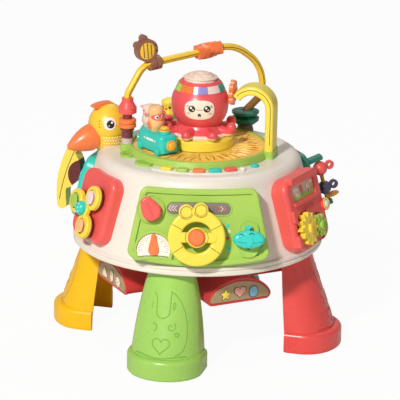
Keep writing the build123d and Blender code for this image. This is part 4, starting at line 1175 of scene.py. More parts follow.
@dataclass
class BarTrim:
    """Seam lines of the bead bar, the bee's belly and the arch's line."""

    foot: Point = (-91.5, -6.0)
    far: Point = (59.5, 85.4)
    bar_r: float = 4.5
    bends: tuple[float, ...] = (14, 26, 55, 52)
    bee: Point = (26.0, 372.0)
    bee_half: float = 5.5

    def plane(self) -> Seat:
        """Gives the upright plane that the bar lies in, facing the front."""
        way = Vector((self.far[0] - self.foot[0], self.far[1] - self.foot[1], 0)).normalized()
        return Seat(Vector((*self.foot, 0)), way, Vector((0, 0, 1)), Vector((way.y, -way.x, 0)))

    def build(self) -> None:
        """Builds the bar's seams, the bee and the arch's line."""
        self.seams()
        self.bee_belly()
        self.arch_line()

    def seams(self) -> None:
        """Runs a dark moulding seam along the bar's front and back, low enough for the beads to pass."""
        span = math.hypot(self.far[0] - self.foot[0], self.far[1] - self.foot[1])
        corners = ((0, 312), (0, 318), (22, 352.5), (156, 365), (span + 25, 332), (span + 25, 304))
        route = bent(corners, self.bends)
        seams = [
            line_through(on_seat(self.plane(), route, side * (self.bar_r - 0.65)), 0.9) for side in (1, -1)
        ]
        settle(seams, "bar_seams", Finish.LINE, Body.TABLE)

    def bee_belly(self) -> None:
        """Sets the bee's yellow belly, its stripes and its eyes on both faces."""
        front = self.plane().at(*self.bee)
        back = Seat(front.origin, -front.across, front.along, -front.out)
        bellies, stripes, eyes = [], [], []
        for seat in (front, back):
            belly = plate(rounded(20.5, 21.5, 2.3), 1.2, 0.5)
            bellies.append(place(belly, seat.at(-1, -0.4, self.bee_half - 0.5)))
            for u in (-5.2, 0.2, 5.4):
                half = math.sqrt(max(0.0, 10.6 ** 2 - (u * 1.05) ** 2)) - 0.6
                ends = [(u - 1.2 - 0.1 * half, half), (u - 1.2 + 0.1 * half, -half)]
                stripes.append(line_through(on_seat(seat, ends, self.bee_half + 0.55), 0.65))
            for u, v in ((10.6, 6.4), (12.2, -0.6)):
                eyes.append(seat.at(u, v, self.bee_half - 0.1))
        settle(bellies, "bee_belly", Finish.BIRD, Body.BEE)
        settle(stripes, "bee_stripes", Finish.MAROON, Body.BEE)
        settle(copies(dome(1.25, 0.7, 16), eyes), "bee_eyes", Finish.INK, Body.BEE)

    def arch_line(self) -> None:
        """Draws the seam round both faces of the tunnel arch."""
        way = outward(77)
        lines = []
        for side in (-1, 1):
            seat = Seat(Vector((0, 0, 0)), way, Vector((0, 0, 1)), Vector((way.y, -way.x, 0)))
            route = [(94.0, 262.0), (94.0, 290.0)] + arc((69.5, 307), 24.5, 0, 140, 26)
            lines.append(line_through(on_seat(seat, route, side * 14.9), 0.5))
        settle(lines, "arch_seams", Finish.LINE, Body.TABLE)


@dataclass
class TrainTrim:
    """Lamps, stripes and wheel caps of the train, and the faces of its passengers."""

    nodes: Nodes
    reach: float = 63.5
    deck: float = 256.6
    engine_turn: float = -55.0
    engine: tuple[float, float, float] = (27.0, 54.0, 22.0)
    cars: tuple[float, ...] = (-99.0, -141.0)
    car: tuple[float, float, float] = (26.0, 34.0, 15.0)

    def spot(self, turn: float, z: float = 0.0) -> Seat:
        """Gives a level seat on the track: across outward, along the way it runs."""
        way = outward(turn) * self.reach
        return level_seat(way.x, way.y, z, turn)

    def build(self) -> None:
        """Builds the engine's trim, the wheel caps and the three faces."""
        self.lamps()
        self.stripes()
        self.wheels()
        self.hen()
        self.pig()
        self.chick()

    def lamps(self) -> None:
        """Sets the yellow dome on the engine's hump and the disc on its nose."""
        base = self.spot(self.engine_turn, self.deck + self.engine[2] + 4)
        nose = self.spot(self.engine_turn, self.deck + 10).at(0, self.engine[1] / 2 + 2.5)
        front = Seat(nose.origin, -nose.across, nose.out, nose.along)
        pieces = [
            place(puck(6.8, 1.6, 0.7), base.at(0, 14.5, -0.2)), place(dome(6.0, 3.2), base.at(0, 14.5, 1.2)),
            place(puck(6.9, 1.5, 0.7), front.at(0, 0, -0.2)), place(dome(5.4, 1.6), front.at(0, 0, 1.2)),
        ]
        settle(pieces, "engine_dome_and_nose", Finish.AMBER, Body.DISC)

    def stripes(self) -> None:
        """Lays white stripes and dots along both sides of the engine and its cars."""
        train = self.nodes["train"]
        pieces = []
        sides = [(self.engine_turn, self.engine, 17.0)] + [(turn, self.car, 13.0) for turn in self.cars]
        for turn, size, reach in sides:
            for side in (-1, 1):
                flat = self.spot(turn, self.deck + size[2] * 0.62).at(side * size[0] / 2, 0)
                seat = Seat(flat.origin, flat.along * side, flat.out, flat.across * side)
                pieces.append(wrap(stadium(reach, 3.0, 8), seat.at(side * 1.5, 0), train, 0.3, 2))
                for u in (reach / 2 + 3.2, -reach / 2 - 3.2):
                    pieces.append(wrap(rounded(2.6, 2.6, 2, 14), seat.at(side * 1.5 + u, 0), train, 0.3, 0))
        settle(pieces, "train_stripes", Finish.WHITE, Body.DISC)

    def wheels(self) -> None:
        """Sets a cap on each wheel."""
        seats = []
        for turn, size in [(self.engine_turn, self.engine)] + [(turn, self.car) for turn in self.cars]:
            for side in (-1, 1):
                for end in (-1, 1):
                    flat = self.spot(turn, 258.5).at(side * (size[0] / 2 + 1.5), end * (size[1] / 2 - 8))
                    seats.append(Seat(flat.origin, flat.along * side, flat.out, flat.across * side))
        settle(copies(puck(3.1, 0.9, 0.4, 24), seats), "wheel_caps", Finish.SEA, Body.DISC)

    def face(self, turn: float, along: float, z: float, look: float) -> Seat:
        """Gives an upright seat in a passenger, facing the way it looks."""
        middle = self.spot(turn).at(0, along).origin
        return upright_seat(middle.x, middle.y, z, look)

    def hen(self) -> None:
        """Gives the hen its red mask, eyes, beak, tuft and wings."""
        hen = self.nodes["hen"]
        seat = self.face(self.engine_turn, -5.0, 297.4, 35.0)
        mask = [wrap(rounded(17.5, 8.2, 2.6, 32, (0, 0)), seat, hen, 0.45, 3)]
        mask.append(place(dome(2.6, 3.0, 16), touch(seat, hen, 7.4, 4.4)))
        settle(mask, "hen_mask", Finish.CORAL, Body.DISC)
        white = [wrap(rounded(5.0, 5.0, 2, 20, (s * 4.1, 0.3)), seat, hen, 0.3, 0, 0.45) for s in (-1, 1)]
        settle(white, "hen_eye_whites", Finish.WHITE, Body.DISC)
        dark = [wrap(rounded(2.5, 2.8, 2, 16, (s * 3.7, 0.2)), seat, hen, 0.25, 0, 0.75) for s in (-1, 1)]
        settle(dark, "hen_pupils", Finish.INK, Body.DISC)
        beak = [place(dome(1.9, 3.2, 16), touch(seat, hen, 0, -2.6))]
        for side in (-1, 1):
            wing = upright_seat(*seat.at(0, -11).origin, 35.0 + side * 92)
            beak.append(wrap(rounded(8.0, 10.0, 2.2, 24), wing, hen, 0.9, 3))
        settle(beak, "hen_beak_and_wings", Finish.ORANGE, Body.DISC)

    def pig(self) -> None:
        """Gives the pig its ears, snout, cheeks and eyes."""
        pig = self.nodes["pig"]
        seat = self.face(self.cars[0], 0.0, 291.5, -28.0)
        pink = [place(puck(3.3, 2.0, 0.8, 28, 0.8), touch(seat, pig, 0, -2.0))]
        for side in (-1, 1):
            ear = upright_seat(*seat.at(0, 6.0).origin, -28 + side * 58)
            pink.append(place(dome(3.0, 4.2, 16, 0.6), touch(ear, pig, 0, 0)))
            pink.append(wrap(rounded(3.6, 2.2, 2, 16, (side * 6.2, -2.6)), seat, pig, 0.3, 0))
        settle(pink, "pig_ears_snout_cheeks", Finish.ROSE, Body.DISC)
        snout = seat.at(0, 0, 3)
        dark = [wrap(rounded(1.1, 1.5, 2, 10, (s * 1.1, -2.0)), snout, pig, 0.2, 0, 1.95) for s in (-1, 1)]
        for side in (-1, 1):
            dark.append(line_on(arc((side * 5.0, 0.8), 1.5, 20, 160, 9), seat, pig, 0.35, sink=0.0))
        settle(dark, "pig_eyes_nostrils", Finish.INK, Body.DISC)

    def chick(self) -> None:
        """Gives the chick its eyes, beak, tuft and wings."""
        chick = self.nodes["chick"]
        seat = self.face(self.cars[1], 0.0, 287.6, -24.0)
        eyes = [touch(upright_seat(*seat.at(0, 0.6).origin, -24 + s * 31), chick, 0, 0) for s in (-1, 1)]
        settle(copies(dome(1.6, 0.7, 16), eyes), "chick_eyes", Finish.INK, Body.DISC)
        beak = [place(dome(2.2, 3.4, 16, 0.7), touch(seat, chick, 0, -1.2))]
        settle(beak, "chick_beak", Finish.ORANGE, Body.DISC)
        crown = level_seat(*seat.origin)
        soft = [place(dome(2.2, 2.6, 14), touch(crown, chick, u, 0)) for u in (-2.4, 0.4, 2.6)]
        for side in (-1, 1):
            wing = upright_seat(*seat.at(0, -8).origin, -24 + side * 90)
            soft.append(wrap(rounded(7.5, 9.0, 2.2, 22), wing, chick, 0.9, 3))
        settle(soft, "chick_tuft_and_wings", Finish.SUN, Body.DISC)


@dataclass
class DashTrim:
    """Prints and lines of the dash: gauge dial, arrow strip, wheel seams and the whale's face."""

    nodes: Nodes
    turn: float = 0.5
    reach: float = 150.0
    gauge: Point = (-55.0, -29.0)
    gauge_r: float = 20.6
    strip: Point = (0.0, 22.5)
    strip_size: Point = (77.4, 13.9)
    wheel: Point = (-2.5, -12.0)
    lever: Point = (61.0, -13.5)
    key: Point = (-59.0, 21.0)

    def seat(self) -> Seat:
        """Gives the dash's face."""
        return panel_seat(self.turn, self.reach)

    def build(self) -> None:
        """Builds each print and line."""
        self.dial()
        self.arrows()
        self.wheel_lines()
        self.key_ring()
        self.whale()

    def dial(self) -> None:
        """Lays the gauge's white card with ticks all round it."""
        seat = self.seat().at(*self.gauge)
        outline = arc((0, 0), self.gauge_r, 0, 180, 36) + [(-18.7, -8.4), (0, -7.0), (18.7, -8.4)]
        settle(place(plate(outline, 0.25, 0.0), seat.at(0, 0, -1.02)), "gauge_dial", Finish.CARD, Body.TABLE)
        ticks = []
        for k in range(23):
            inner = 13.2 if k % 3 == 0 else 15.8
            ends = [polar(r, -8 + 196 * k / 22) for r in (inner, 18.9)]
            ticks.append(line_through(on_seat(seat, ends, -0.92), 0.3))
        settle(ticks, "gauge_ticks", Finish.TICK, Body.TABLE)
        low = [(-18.2, -7.9), (-9, -6.9), (0, -6.5), (9, -6.9), (18.2, -7.9)]
        edge = line_through(on_seat(seat, low, -0.9), 0.55)
        rim = line_through(on_seat(seat, arc((0, 0), self.gauge_r + 0.2, 4, 176, 40), -0.4), 0.6)
        settle([edge, rim], "gauge_edge", Finish.SLATE, Body.TABLE)
        boss = [
            place(puck(4.6, 1.0, 0.4, 32), seat.at(0, 0, 2.3)),
            place(puck(2.4, 0.9, 0.4, 24), seat.at(0, 17, 2.3)),
        ]
        settle(boss, "pointer_bosses", Finish.ORANGE, Body.POINTER)

    def arrows(self) -> None:
        """Lays the dark strip with its arrows in the slot, and the raised lip round it."""
        seat = self.seat().at(*self.strip)
        strip = place(plate(stadium(*self.strip_size), 0.5, 0.15), seat.at(0, 0, -4.05))
        settle(strip, "arrow_strip", Finish.SLATE, Body.TABLE)
        chevrons: dict[Finish, list[Piece]] = {Finish.CREAM: [], Finish.ORANGE: []}
        for side, start in ((-1, -35.5), (1, 24.5)):
            for k in range(3):
                u = start + 3.4 * k
                tip = [(u - side * 1.6, 3.2), (u + side * 1.6, 0), (u - side * 1.6, -3.2)]
                finish = Finish.CREAM if side < 0 or k == 1 else Finish.ORANGE
                chevrons[finish].append(line_through(on_seat(seat, tip, -3.5), 0.62))
        for finish, lines in chevrons.items():
            settle(lines, "arrows_" + finish.name.lower(), finish, Body.TABLE)
        outline = stadium(*(side + 2.6 for side in self.strip_size))
        lip = line_through(on_seat(seat, outline, -2.9), 1.0, True)
        settle(lip, "arrow_strip_lip", Finish.MEADOW, Body.TABLE)
        dots = {
            Finish.SEA: ((35.6, 2.0), (36.4, -26.0)),
            Finish.CREAM: ((36.6, -4.8),),
            Finish.CORAL: ((35.4, -13.0),),
        }
        for finish, spots in dots.items():
            dot = copies(puck(2.3, 0.5, 0.2, 24), [self.seat().at(u, v, -3.05) for u, v in spots])
            settle(dot, "dash_dots_" + finish.name.lower(), finish, Body.TABLE)

    def wheel_lines(self) -> None:
        """Draws the seams of the wheel's grips, its ears and its horn ring."""
        wheel = self.nodes["steering_wheel"]
        seat = self.seat().at(*self.wheel)
        lines = []
        for angle in (152, 214, 28, -34):
            ray = [polar(r, angle) for r in range(20, 36)]
            lines.append(line_on(ray, seat, wheel, 0.42, sink=0.2))
        for turn in (-23, 8):
            centre = polar(33.5, 90 - turn)
            lines.append(line_on(arc(centre, 8.6, 200, 340, 20), seat, wheel, 0.42, sink=0.2))
            lines.append(line_on(arc(centre, 7.0, 0, 345, 28), seat, wheel, 0.35, True, 0.2))
        for side in (180, 0):
            lines.append(line_on(arc((0, 0), 13.8, side - 26, side + 26, 12), seat, wheel, 0.42, sink=0.2))
        settle(lines, "wheel_seams", Finish.LINE, Body.WHEEL)
        ring = line_through(on_seat(seat, arc((0, 0), 8.4, 0, 350, 36), 22.35), 0.3, True)
        settle(ring, "horn_ring", Finish.CORAL, Body.HORN)

    def key_ring(self) -> None:
        """Draws the raised lips round the key switch, the wheel's well and the lever's plate."""
        seat = self.seat()
        slot = [(self.lever[0] + v, self.lever[1] + u) for u, v in reversed(stadium(43.6, 22.6, 16))]
        lips = [
            line_through(on_seat(seat, arc(self.key, 16.4, 0, 352, 48), 0.0), 0.8, True),
            line_through(on_seat(seat, arc(self.wheel, 28.6, 0, 354, 64), 0.0), 0.8, True),
            line_through(on_seat(seat, slot, 2.5), 0.7, True),
        ]
        settle(lips, "dash_lips", Finish.MEADOW, Body.TABLE)

    def whale(self) -> None:
        """Gives the whale its eyes, mouth, fins and belly lines."""
        whale = self.nodes["whale_lever"]
        seat = self.seat().at(*self.lever)
        eyes = ((-9.5, 3.4), (3.0, 4.6))
        dark = [line_on(arc(eye, 3.0, 25, 155, 12), seat, whale, 0.55, sink=0.0) for eye in eyes]
        settle(dark, "whale_eyes", Finish.INK, Body.WHALE)
        mouth = [(-17.0 + 34.0 * k / 30, -2.2 - 2.2 * math.sin(math.pi * k / 30)) for k in range(31)]
        deep = [line_on(mouth, seat, whale, 0.5, sink=0.2)]
        for k in range(4):
            deep.append(line_on([(-9 + 6 * k, -5.6), (-8.4 + 5.6 * k, -9.0)], seat, whale, 0.4, sink=0.2))
        settle(deep, "whale_lines", Finish.DEEP_SEA, Body.WHALE)
        fins = [wrap(rounded(8.0, 9.0, 2.2, 24), seat.at(1.0, -3.0), whale, 1.6, 3)]
        fins += [wrap(rounded(4.6, 2.6, 2, 18), seat.at(u, 0.6), whale, 0.35, 2) for u in (-12.5, 12.5)]
        settle(fins, "whale_fins", Finish.SEA, Body.WHALE)


@dataclass
class SideTrim:
    """Trim of the side panels: the flower's inlays, the bus's window and lamp, the handset and the beads."""

    nodes: Nodes
    petal_reach: float = 22.5
    inlay_r: float = 9.7

    def build(self) -> None:
        """Builds each panel's trim."""
        self.flower_inlays()
        self.bus_front()
        self.bus_gears()
        self.handset_lines()
        self.stack_lines()

    def flower_inlays(self) -> None:
        """Sets a crowned coloured inlay in each petal and white flecks in the hub's dome."""
        seat = FLOWER_FACE.at(0, -3)
        colours = ((50, Finish.BLUSH), (170, Finish.MEADOW), (290, Finish.PEACH))
        for turn, finish in colours:
            spot = seat.at(*polar(self.petal_reach, turn), 9.3)
            inlay = [place(puck(self.inlay_r, 1.2, 0.4), spot), place(dome(8.6, 0.9), spot.at(0, 0, 1.1))]
            settle(inlay, f"petal_inlay_{turn}", finish, Body.FLOWER)
        hub = self.nodes["spinner_hub"]
        spots = (
            (-3.4, 4.2), (2.2, 5.2), (-1.2, 0.4), (3.6, 0.8),
            (-4.6, -1.6), (0.6, -4.4), (4.2, -3.8), (-2.8, -5.2),
        )
        flecks = [touch(seat, hub, u, v) for u, v in spots]
        settle(copies(dome(0.9, 0.3, 12), flecks), "hub_flecks", Finish.WHITE, Body.FLOWER)

    def bus_front(self) -> None:
        """Lays the window's print, the lamp's lens and the vents of the bus."""
        seat = BUS_FACE
        pane = seat.at(0, 28, -3.05)
        settle(place(plate(rounded(59.4, 21.4, 9), 0.5, 0.15), pane), "bus_window", Finish.PANE, Body.TABLE)
        ridge = [(-29 + 58 * k / 28, -4.4 + 2.4 * math.sin(0.9 + k * 0.46)) for k in range(29)]
        hills = [(-29, -10), *ridge, (29, -10)]
        motifs: dict[Finish, list[list[Point]]] = {
            Finish.MEADOW: [list(reversed(hills))],
            Finish.CREAM: [rounded(11, 5.6, 2.4, 24, (-19, 4.2)), rounded(8, 4.4, 2.4, 20, (-12.8, 3.0)),
                           star(7, 4.6, 2.9, (14.5, 1.6)), rounded(7.2, 4.0, 2.4, 20, (24, 5.4))],
            Finish.CORAL: [rounded(8.4, 8.8, 2, 28, (-2.6, 2.6)), rounded(3.0, 3.0, 2, 14, (14.5, 1.6))],
            Finish.BROWN: [rounded(1.5, 7.0, 6, 16, (-2.6, -4.4)), rounded(1.3, 6.0, 6, 16, (14.5, -4.4))],
        }
        for finish, outlines in motifs.items():
            shapes = [
                place(plate(outline, 0.4 + 0.12 * k, 0.0), pane.at(0, 0, 0.4))
                for k, outline in enumerate(outlines)
            ]
            settle(shapes, "bus_print_" + finish.name.lower(), finish, Body.TABLE)
        lamp = seat.at(42, -2)
        ring = line_through(on_seat(lamp, arc((0, 0), 6.7, 0, 350, 36), 3.4), 1.2, True)
        settle(ring, "bus_lamp_ring", Finish.SUN, Body.TABLE)
        settle(place(dome(5.3, 2.4), lamp.at(0, 0, 1.9)), "bus_lamp_lens", Finish.WHITE, Body.TABLE)
        slots = [[(-12 + 5 * k, 7.6), (-11 + 5 * k, 4.4)] for k in range(6)]
        vents = [line_through(on_seat(seat, slot, 0.1), 0.75) for slot in slots]
        vents += [line_through(on_seat(seat, [(-31, 9.8), (31, 9.8)], 2.5), 0.5)]
        settle(vents, "bus_vents", Finish.ROUGE, Body.TABLE)

    def bus_gears(self) -> None:
        """Caps both gears and sets a ring of studs round each cap."""
        caps = {
            Finish.AMBER: ((-15.5, -19.0), Body.GEAR_A, 10.6, 6),
            Finish.LEAF: ((15.25, -22.94), Body.GEAR_B, 6.4, 4),
        }
        for finish, (spot, body, reach, studs) in caps.items():
            pieces = [place(puck(4.4, 1.0, 0.4, 28), BUS_FACE.at(*spot, 9.5))]
            for k in range(studs):
                stud = BUS_FACE.at(*polar(reach, 360 * k / studs + 30, spot), 6.5)
                pieces.append(place(puck(1.7, 0.7, 0.3, 16), stud))
            settle(pieces, "gear_caps_" + finish.name.lower(), finish, body)

    def handset_lines(self) -> None:
        """Runs the handset's seam along both sides, following its bow."""
        heights = [55.0 - 94.0 * k / 24 for k in range(25)]
        lines = []
        for side in (-1, 1):
            route = [PHONE_FACE.point(side * 8.95, v, 27.6 - 0.00205 * (v + 9.5) ** 2) for v in heights]
            lines.append(line_through(route, 0.55))
        settle(lines, "handset_seams", Finish.LINE, Body.PHONE)

    def stack_lines(self) -> None:
        """Draws the rim lines of the rings on the trunk."""
        lines = []
        for radius, z in ((15.2, 274.5), (17.7, 264.9)):
            route = [Vector((59.5 + x, 85.4 + y, z)) * MM for x, y in arc((0, 0), radius, 0, 352, 48)]
            lines.append(line_through(route, 0.5, True))
        settle(lines, "trunk_ring_lines", Finish.DEEP_TEAL, Body.TRUNK)


@dataclass
class SignTrim:
    """Plain shapes on the four sign plates of the cross hub."""

    turn: float = 26.5
    reach: float = 121.4
    low: float = 78.0
    thick: float = 0.8
    border: float = 1.16

    def shapes(self, k: int) -> dict[Finish, list[list[Point]]]:
        """Gives each plate its own row of three shapes.

        Args:
            k: The plate's number.

        Returns:
            Outlines by finish.
        """
        rows = (
            {Finish.SUN: [star(5, 7.6, 3.6, (-20, 13))], Finish.ROSE: [heart(15.5, (0, 14.0))],
             Finish.SKY: [rounded(11.5, 13.5, 2.3, 32, (19, 12.5))]},
            {Finish.SKY: [star(6, 7.4, 4.4, (-20, 13))], Finish.SUN: [rounded(13, 13, 2, 32, (0, 14.5))],
             Finish.ROSE: [star(4, 8, 4.6, (19, 12.5))]},
            {Finish.LEAF: [rounded(13, 10, 2.2, 32, (-20, 12))], Finish.CORAL: [star(5, 8.4, 4.2, (0, 14.5))],
             Finish.SUN: [heart(14, (19, 13))]},
            {Finish.CREAM: [star(3, 8.6, 5.0, (-20, 11)), rounded(8.0, 15.0, 2.4, 28, (2.0, 13.5)),
                            star(8, 7.6, 5.2, (21, 11.5))],
             Finish.PEACH: [rounded(3.6, 3.6, 2, 16, (21, 11.5)), rounded(4.4, 4.4, 2, 16, (2.0, 15.5))]},
        )
        return rows[k]

    def build(self) -> None:
        """Builds the shapes with a dark brown backing a little larger than each."""
        backs = []
        groups: dict[Finish, list[Piece]] = {}
        for k in range(4):
            way = outward(self.turn + 90 * k) * self.reach
            seat = upright_seat(way.x, way.y, self.low, self.turn + 90 * k)
            for finish, outlines in self.shapes(k).items():
                for outline in outlines:
                    u0 = sum(p[0] for p in outline) / len(outline)
                    v0 = sum(p[1] for p in outline) / len(outline)
                    grown = [(u0 + (u - u0) * self.border, v0 + (v - v0) * self.border) for u, v in outline]
                    small = max(p[0] for p in outline) - min(p[0] for p in outline) < 5
                    if not small:
                        backs.append(place(plate(grown, self.thick * 0.5, 0.1), seat))
                    height = self.thick * (1.5 if small else 1.0)
                    groups.setdefault(finish, []).append(place(plate(outline, height, 0.2), seat))
        settle(backs, "sign_shape_backs", Finish.INKED, Body.TABLE)
        for finish, shapes in groups.items():
            settle(shapes, "sign_shapes_" + finish.name.lower(), finish, Body.TABLE)


@dataclass
class LegTrim:
    """Moulded line work on the four legs, coloured darker than each leg as painted shade of engraved grooves.
    """

    nodes: Nodes
    turn: float = -14.5
    names: tuple[str, ...] = ("leg_front", "leg_right", "leg_back", "leg_left")
    line_r: float = 0.8
    reach: float = 171.0
    middle: float = 60.0
    lean: float = 17.4

    def routes(self) -> list[list[Point]]:
        """Gives the lines on a leg, the same on all four.

        Returns:
            Routes across and up from the seat's middle.
        """
        drip = [(-13.5, 47), (-10.5, 44), (-8.6, 38), (-8.4, 25)] + arc((0, 24), 8.4, 180, 360, 16)
        drip += [(8.4, 38), (8.6, 49)]
        side = [
            (7.5, 49.5), (13, 46.5), (19.5, 39), (25.5, 27), (29, 14), (30.6, 0), (30.6, -12), (28, -22),
            (23, -27.5), (19.5, -28.5),
        ]
        shade = [
            (13.2, 36.5), (14.6, 33.5), (14.4, 29.5), (12.8, 27.0), (11.6, 29.5), (11.8, 33.5), (13.2, 36.5)
        ]
        swirl = [((1.2 + 0.34 * k) * math.cos(0.52 * k) + 11.6, (1.2 + 0.34 * k) * math.sin(0.52 * k) + 5.6)
                 for k in range(15)]
        half = arc((-10.6, 3.8), 4.6, 100, -80, 14)
        blades = [(-13.5, 35), (-15.0, 31), (-14.2, 27)]
        petals = star(5, 3.2, 1.7, (19.4, -3.2))
        bloom = petals + petals[:1]
        wave = [(u, -31.5 - 2.4 * math.cos(u / 11.0)) for u in range(-32, 34, 2)]
        love = heart(22, (1.0, -19.5))
        return [self.eased(drip), self.eased(side), shade, swirl, half, blades, bloom, love + love[:1], wave]

    def eased(self, points: Sequence[Point]) -> list[Point]:
        """Adds a point between each pair, so that a line follows the curve of the leg.

        Args:
            points: The points of the line.

        Returns:
            The points with those between them.
        """
        route = []
        for here, there in zip(points, points[1:]):
            route += [here, ((here[0] + there[0]) / 2, (here[1] + there[1]) / 2)]
        return route + [points[-1]]

    def build(self) -> None:
        """Builds the lines on each leg."""
        # Each leg's lines take the darker copy of its colour, painted groove shade.
        finishes = (Finish.SHADED_LINE_GREEN, Finish.SHADED_LINE_RED, Finish.SHADED_LINE_TEAL, Finish.SHADED_LINE_YELLOW)
        for k, (name, finish) in enumerate(zip(self.names, finishes)):
            leg = self.nodes[name]
            seat = panel_seat(self.turn + 90 * k, self.reach, self.middle, self.lean)
            pieces = [line_on(route, seat, leg, self.line_r, sink=0.35) for route in self.routes()]
            settle(pieces, name + "_relief", finish, Body.TABLE)


@dataclass
class DiscTrim:
    """Raised straws on the turning disc, leaf veins on its ring and screws underneath."""

    top: float = 253.0
    inner: float = 46.5
    outer: float = 81.5
    straws: int = 270
    under: float = 131.0

    def build(self) -> None:
        """Builds the straws, the veins and the screws."""
        self.straw_field()
        self.veins()
        self.screws()

    def straw(self) -> Piece:
        """Models one straw: a low bar with sloping sides.

        Returns:
            The straw at the origin.
        """
        start_clean()
        bpy.ops.mesh.primitive_cube_add(size=1)
        bar = bpy.context.object
        bar.scale = (0.013, 0.0014, 0.0011)
        bpy.ops.object.transform_apply(location=False, rotation=False, scale=True)
        pick_faces(bar, lambda centre, normal: normal.z > 0.9)
        bpy.ops.transform.resize(value=(0.8, 0.4, 1))
        start_clean()
        return bar

    def straw_field(self) -> None:
        """Scatters light and dark straws over the disc in a fixed, uneven fan."""
        tones: dict[Finish, list[Seat]] = {Finish.STRAW_LINE: [], Finish.STRAW_SHADE: []}
        for k in range(self.straws):
            share = (k * 0.7548777) % 1.0
            reach = self.inner + 7 + (self.outer - self.inner - 14) * math.sqrt(share)
            turn = k * 137.508
            way = outward(turn) * reach
            lean = 26 * math.sin(k * 2.4) + 14 * math.sin(k * 0.7)
            tone = Finish.STRAW_LINE if k % 3 else Finish.STRAW_SHADE
            tones[tone].append(level_seat(way.x, way.y, self.top + 0.2, turn + lean))
        for tone, seats in tones.items():
            settle(copies(self.straw(), seats), "disc_" + tone.name.lower(), tone, Body.DISC)

    def veins(self) -> None:
        """Draws a mid vein and side veins on the two leaves of the ring."""
        lines = []
        for turn, reach, half in ((-45, 98.0, 11.0), (-71, 97.0, 10.0)):
            way = outward(turn) * reach
            seat = level_seat(way.x, way.y, 247.0, turn)
            lines.append(line_through(on_seat(seat, [(0, -half), (0, half)], 0.0), 0.5))
            for v in (-6, -2, 2):
                for side in (-1, 1):
                    lines.append(line_through(on_seat(seat, [(0, v), (side * 4.4, v + 3.6)], 0.0), 0.35))
        settle(lines, "leaf_veins", Finish.LEAF, Body.TABLE)

    def screws(self) -> None:
        """Sets cross-head screws under the tray, with black plates on their heads as painted shade in the
        cross recesses.
        """
        heads, slots = [], []
        for k in range(8):
            way = outward(22.5 + 45 * k) * 146
            spot = Vector((way.x, way.y, self.under))
            seat = Seat(spot, Vector((1, 0, 0)), Vector((0, -1, 0)), Vector((0, 0, -1)))
            heads.append(seat)
            slots += [seat.at(0, 0, 1.05), seat.at(0, 0, 1.05).turned(90)]
        settle(copies(puck(3.4, 1.3, 0.5, 24), heads), "tray_screws", Finish.CAN, Body.TABLE)
        # Black plates stand for the shade in each cross recess: painted shade.
        slot = plate(rounded(4.2, 0.9, 6, 12), 0.35, 0.0)
        settle(copies(slot, slots), "screw_recess_shade", Finish.INK, Body.TABLE)


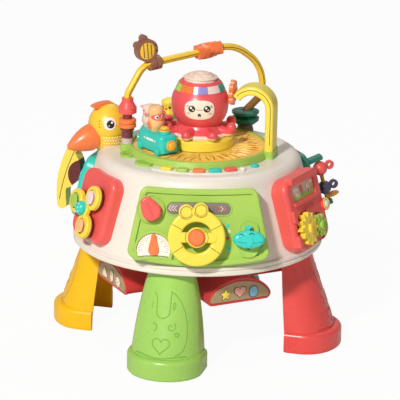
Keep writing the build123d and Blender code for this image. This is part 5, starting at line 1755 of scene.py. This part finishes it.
@dataclass
class Studio:
    """Pale floor, soft light and the camera at the photograph's place."""

    eye: tuple[float, float, float] = (0.0, -2.8, 1.06718)
    pitch: float = 17.632
    yaw: float = 0.044
    roll: float = 1.06
    lens: float = 206.13
    aim: tuple[float, float, float] = (0.0, 0.0, 0.18)
    lamps: tuple[tuple, ...] = (
        ("key", (-1.15, -2.7, 2.3), 0.36, 101.0, "#FFFAF5"),
        ("fill", (2.2, -2.2, 1.4), 2.4, 3.4, "#FFF6EC"),
        ("crown", (0.2, 1.6, 2.6), 1.8, 18.0, "#FFFFFF"),
    )
    sky: float = 0.15
    mirrored: float = 0.33
    glow: float = 0.95
    floor_drop: float = 0.0004

    def camera(self) -> None:
        """Sets the camera from its fitted place and turns."""
        e, y, r = (math.radians(a) for a in (self.pitch, self.yaw, self.roll))
        back = Vector((0, -math.cos(e), math.sin(e)))
        right = Vector((1, 0, 0))
        up = Vector((0, math.sin(e), math.cos(e)))
        right2 = right * math.cos(y) + back * math.sin(y)
        back2 = back * math.cos(y) - right * math.sin(y)
        right3 = right2 * math.cos(r) + up * math.sin(r)
        up3 = up * math.cos(r) - right2 * math.sin(r)
        view = Matrix((right3, up3, back2)).transposed().to_4x4()
        view.translation = Vector(self.eye)
        data = bpy.data.cameras.new("view")
        data.lens = self.lens
        data.sensor_width = 36.0
        data.clip_end = 50.0
        shot = bpy.data.objects.new("view", data)
        bpy.context.scene.collection.objects.link(shot)
        shot.matrix_world = view
        bpy.context.scene.camera = shot

    def lamp(self, name: str, place_at: Sequence[float], size: float, power: float, colour: str) -> None:
        """Adds one soft lamp that looks at the table.

        Args:
            name: Its name.
            place_at: Where it hangs, in metres.
            size: Its side in metres.
            power: Its power in watts.
            colour: Its sRGB colour.
        """
        data = bpy.data.lights.new(name, "AREA")
        data.shape = "DISK"
        data.size = size
        data.energy = power
        data.color = linear(colour)[:3]
        lamp = bpy.data.objects.new(name, data)
        bpy.context.scene.collection.objects.link(lamp)
        lamp.location = place_at
        lamp.rotation_euler = (Vector(self.aim) - Vector(place_at)).to_track_quat("-Z", "Y").to_euler()

    def light(self) -> None:
        """Lights the table: a warm key from the upper left, a weak fill, a crown lamp and an even sky."""
        for lamp in self.lamps:
            self.lamp(*lamp)
        world = bpy.data.worlds.new("sky")
        bpy.context.scene.world = world
        world.use_nodes = True
        tree = world.node_tree
        tree.nodes.clear()
        seen = self.seen(tree)
        sky = node(tree, "ShaderNodeBackground", {"Color": linear("#FFF9F3"), "Strength": self.sky})
        paper = node(tree, "ShaderNodeBackground", {"Color": (1, 1, 1, 1), "Strength": 1.0})
        mixed = node(tree, "ShaderNodeMixShader", None, {0: seen, 1: sky.outputs[0], 2: paper.outputs[0]})
        node(tree, "ShaderNodeOutputWorld", None, {"Surface": mixed.outputs[0]})

    def seen(self, tree: Tree) -> Socket:
        """Gives how far rays show the backdrop itself: 1 straight on, a third when mirrored in plastic.

        Args:
            tree: The world's node tree.

        Returns:
            The share socket.
        """
        path = node(tree, "ShaderNodeLightPath")
        mirrored = node(
            tree, "ShaderNodeMath", {1: self.mirrored}, {0: path.outputs["Is Glossy Ray"]},
            operation="MULTIPLY",
        )
        first = node(
            tree, "ShaderNodeMath", None,
            {0: path.outputs["Is Camera Ray"], 1: mirrored.outputs[0]}, operation="MAXIMUM",
        )
        both = node(
            tree, "ShaderNodeMath", None,
            {0: first.outputs[0], 1: path.outputs["Is Transmission Ray"]}, operation="MAXIMUM",
        )
        return both.outputs[0]

    def floor(self) -> None:
        """Lays a pale paper floor that keeps a soft shadow."""
        start_clean()
        bpy.ops.mesh.primitive_grid_add(
            x_subdivisions=4, y_subdivisions=4, size=14, location=(0, 0, -self.floor_drop)
        )
        ground = bpy.context.object
        ground.name = "floor"
        paper = bpy.data.materials.new("White paper")
        paper.use_nodes = True
        tree = paper.node_tree
        tree.nodes.clear()
        dull = node(tree, "ShaderNodeBsdfDiffuse", {"Color": linear("#F7F4F0")})
        glow = node(tree, "ShaderNodeEmission", {"Color": (1, 1, 1, 1), "Strength": 1.0})
        path = node(tree, "ShaderNodeLightPath")
        share = node(
            tree, "ShaderNodeMath", {1: self.glow}, {0: path.outputs["Is Camera Ray"]}, operation="MULTIPLY"
        )
        mixed = node(
            tree, "ShaderNodeMixShader", None, {0: share.outputs[0], 1: dull.outputs[0], 2: glow.outputs[0]}
        )
        node(tree, "ShaderNodeOutputMaterial", None, {"Surface": mixed.outputs[0]})
        ground.data.materials.append(paper)

    def build(self) -> None:
        """Sets the camera, the lamps and the floor."""
        bpy.context.scene.view_settings.view_transform = "Standard"
        self.camera()
        self.light()
        self.floor()


def main() -> None:
    """Dresses the frame, builds the trim in order and sets the studio."""
    logging.basicConfig(level=logging.INFO, format="%(message)s")
    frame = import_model()
    nodes: Nodes = frame["nodes"]
    start_clean()
    Mouldings(nodes).dress()
    OctopusTrim(nodes).build()
    BirdTrim(nodes).build()
    BarTrim().build()
    TrainTrim(nodes).build()
    DashTrim(nodes).build()
    SideTrim(nodes).build()
    SignTrim().build()
    LegTrim(nodes).build()
    DiscTrim().build()
    Studio().build()


if __name__ == "__main__":
    main()
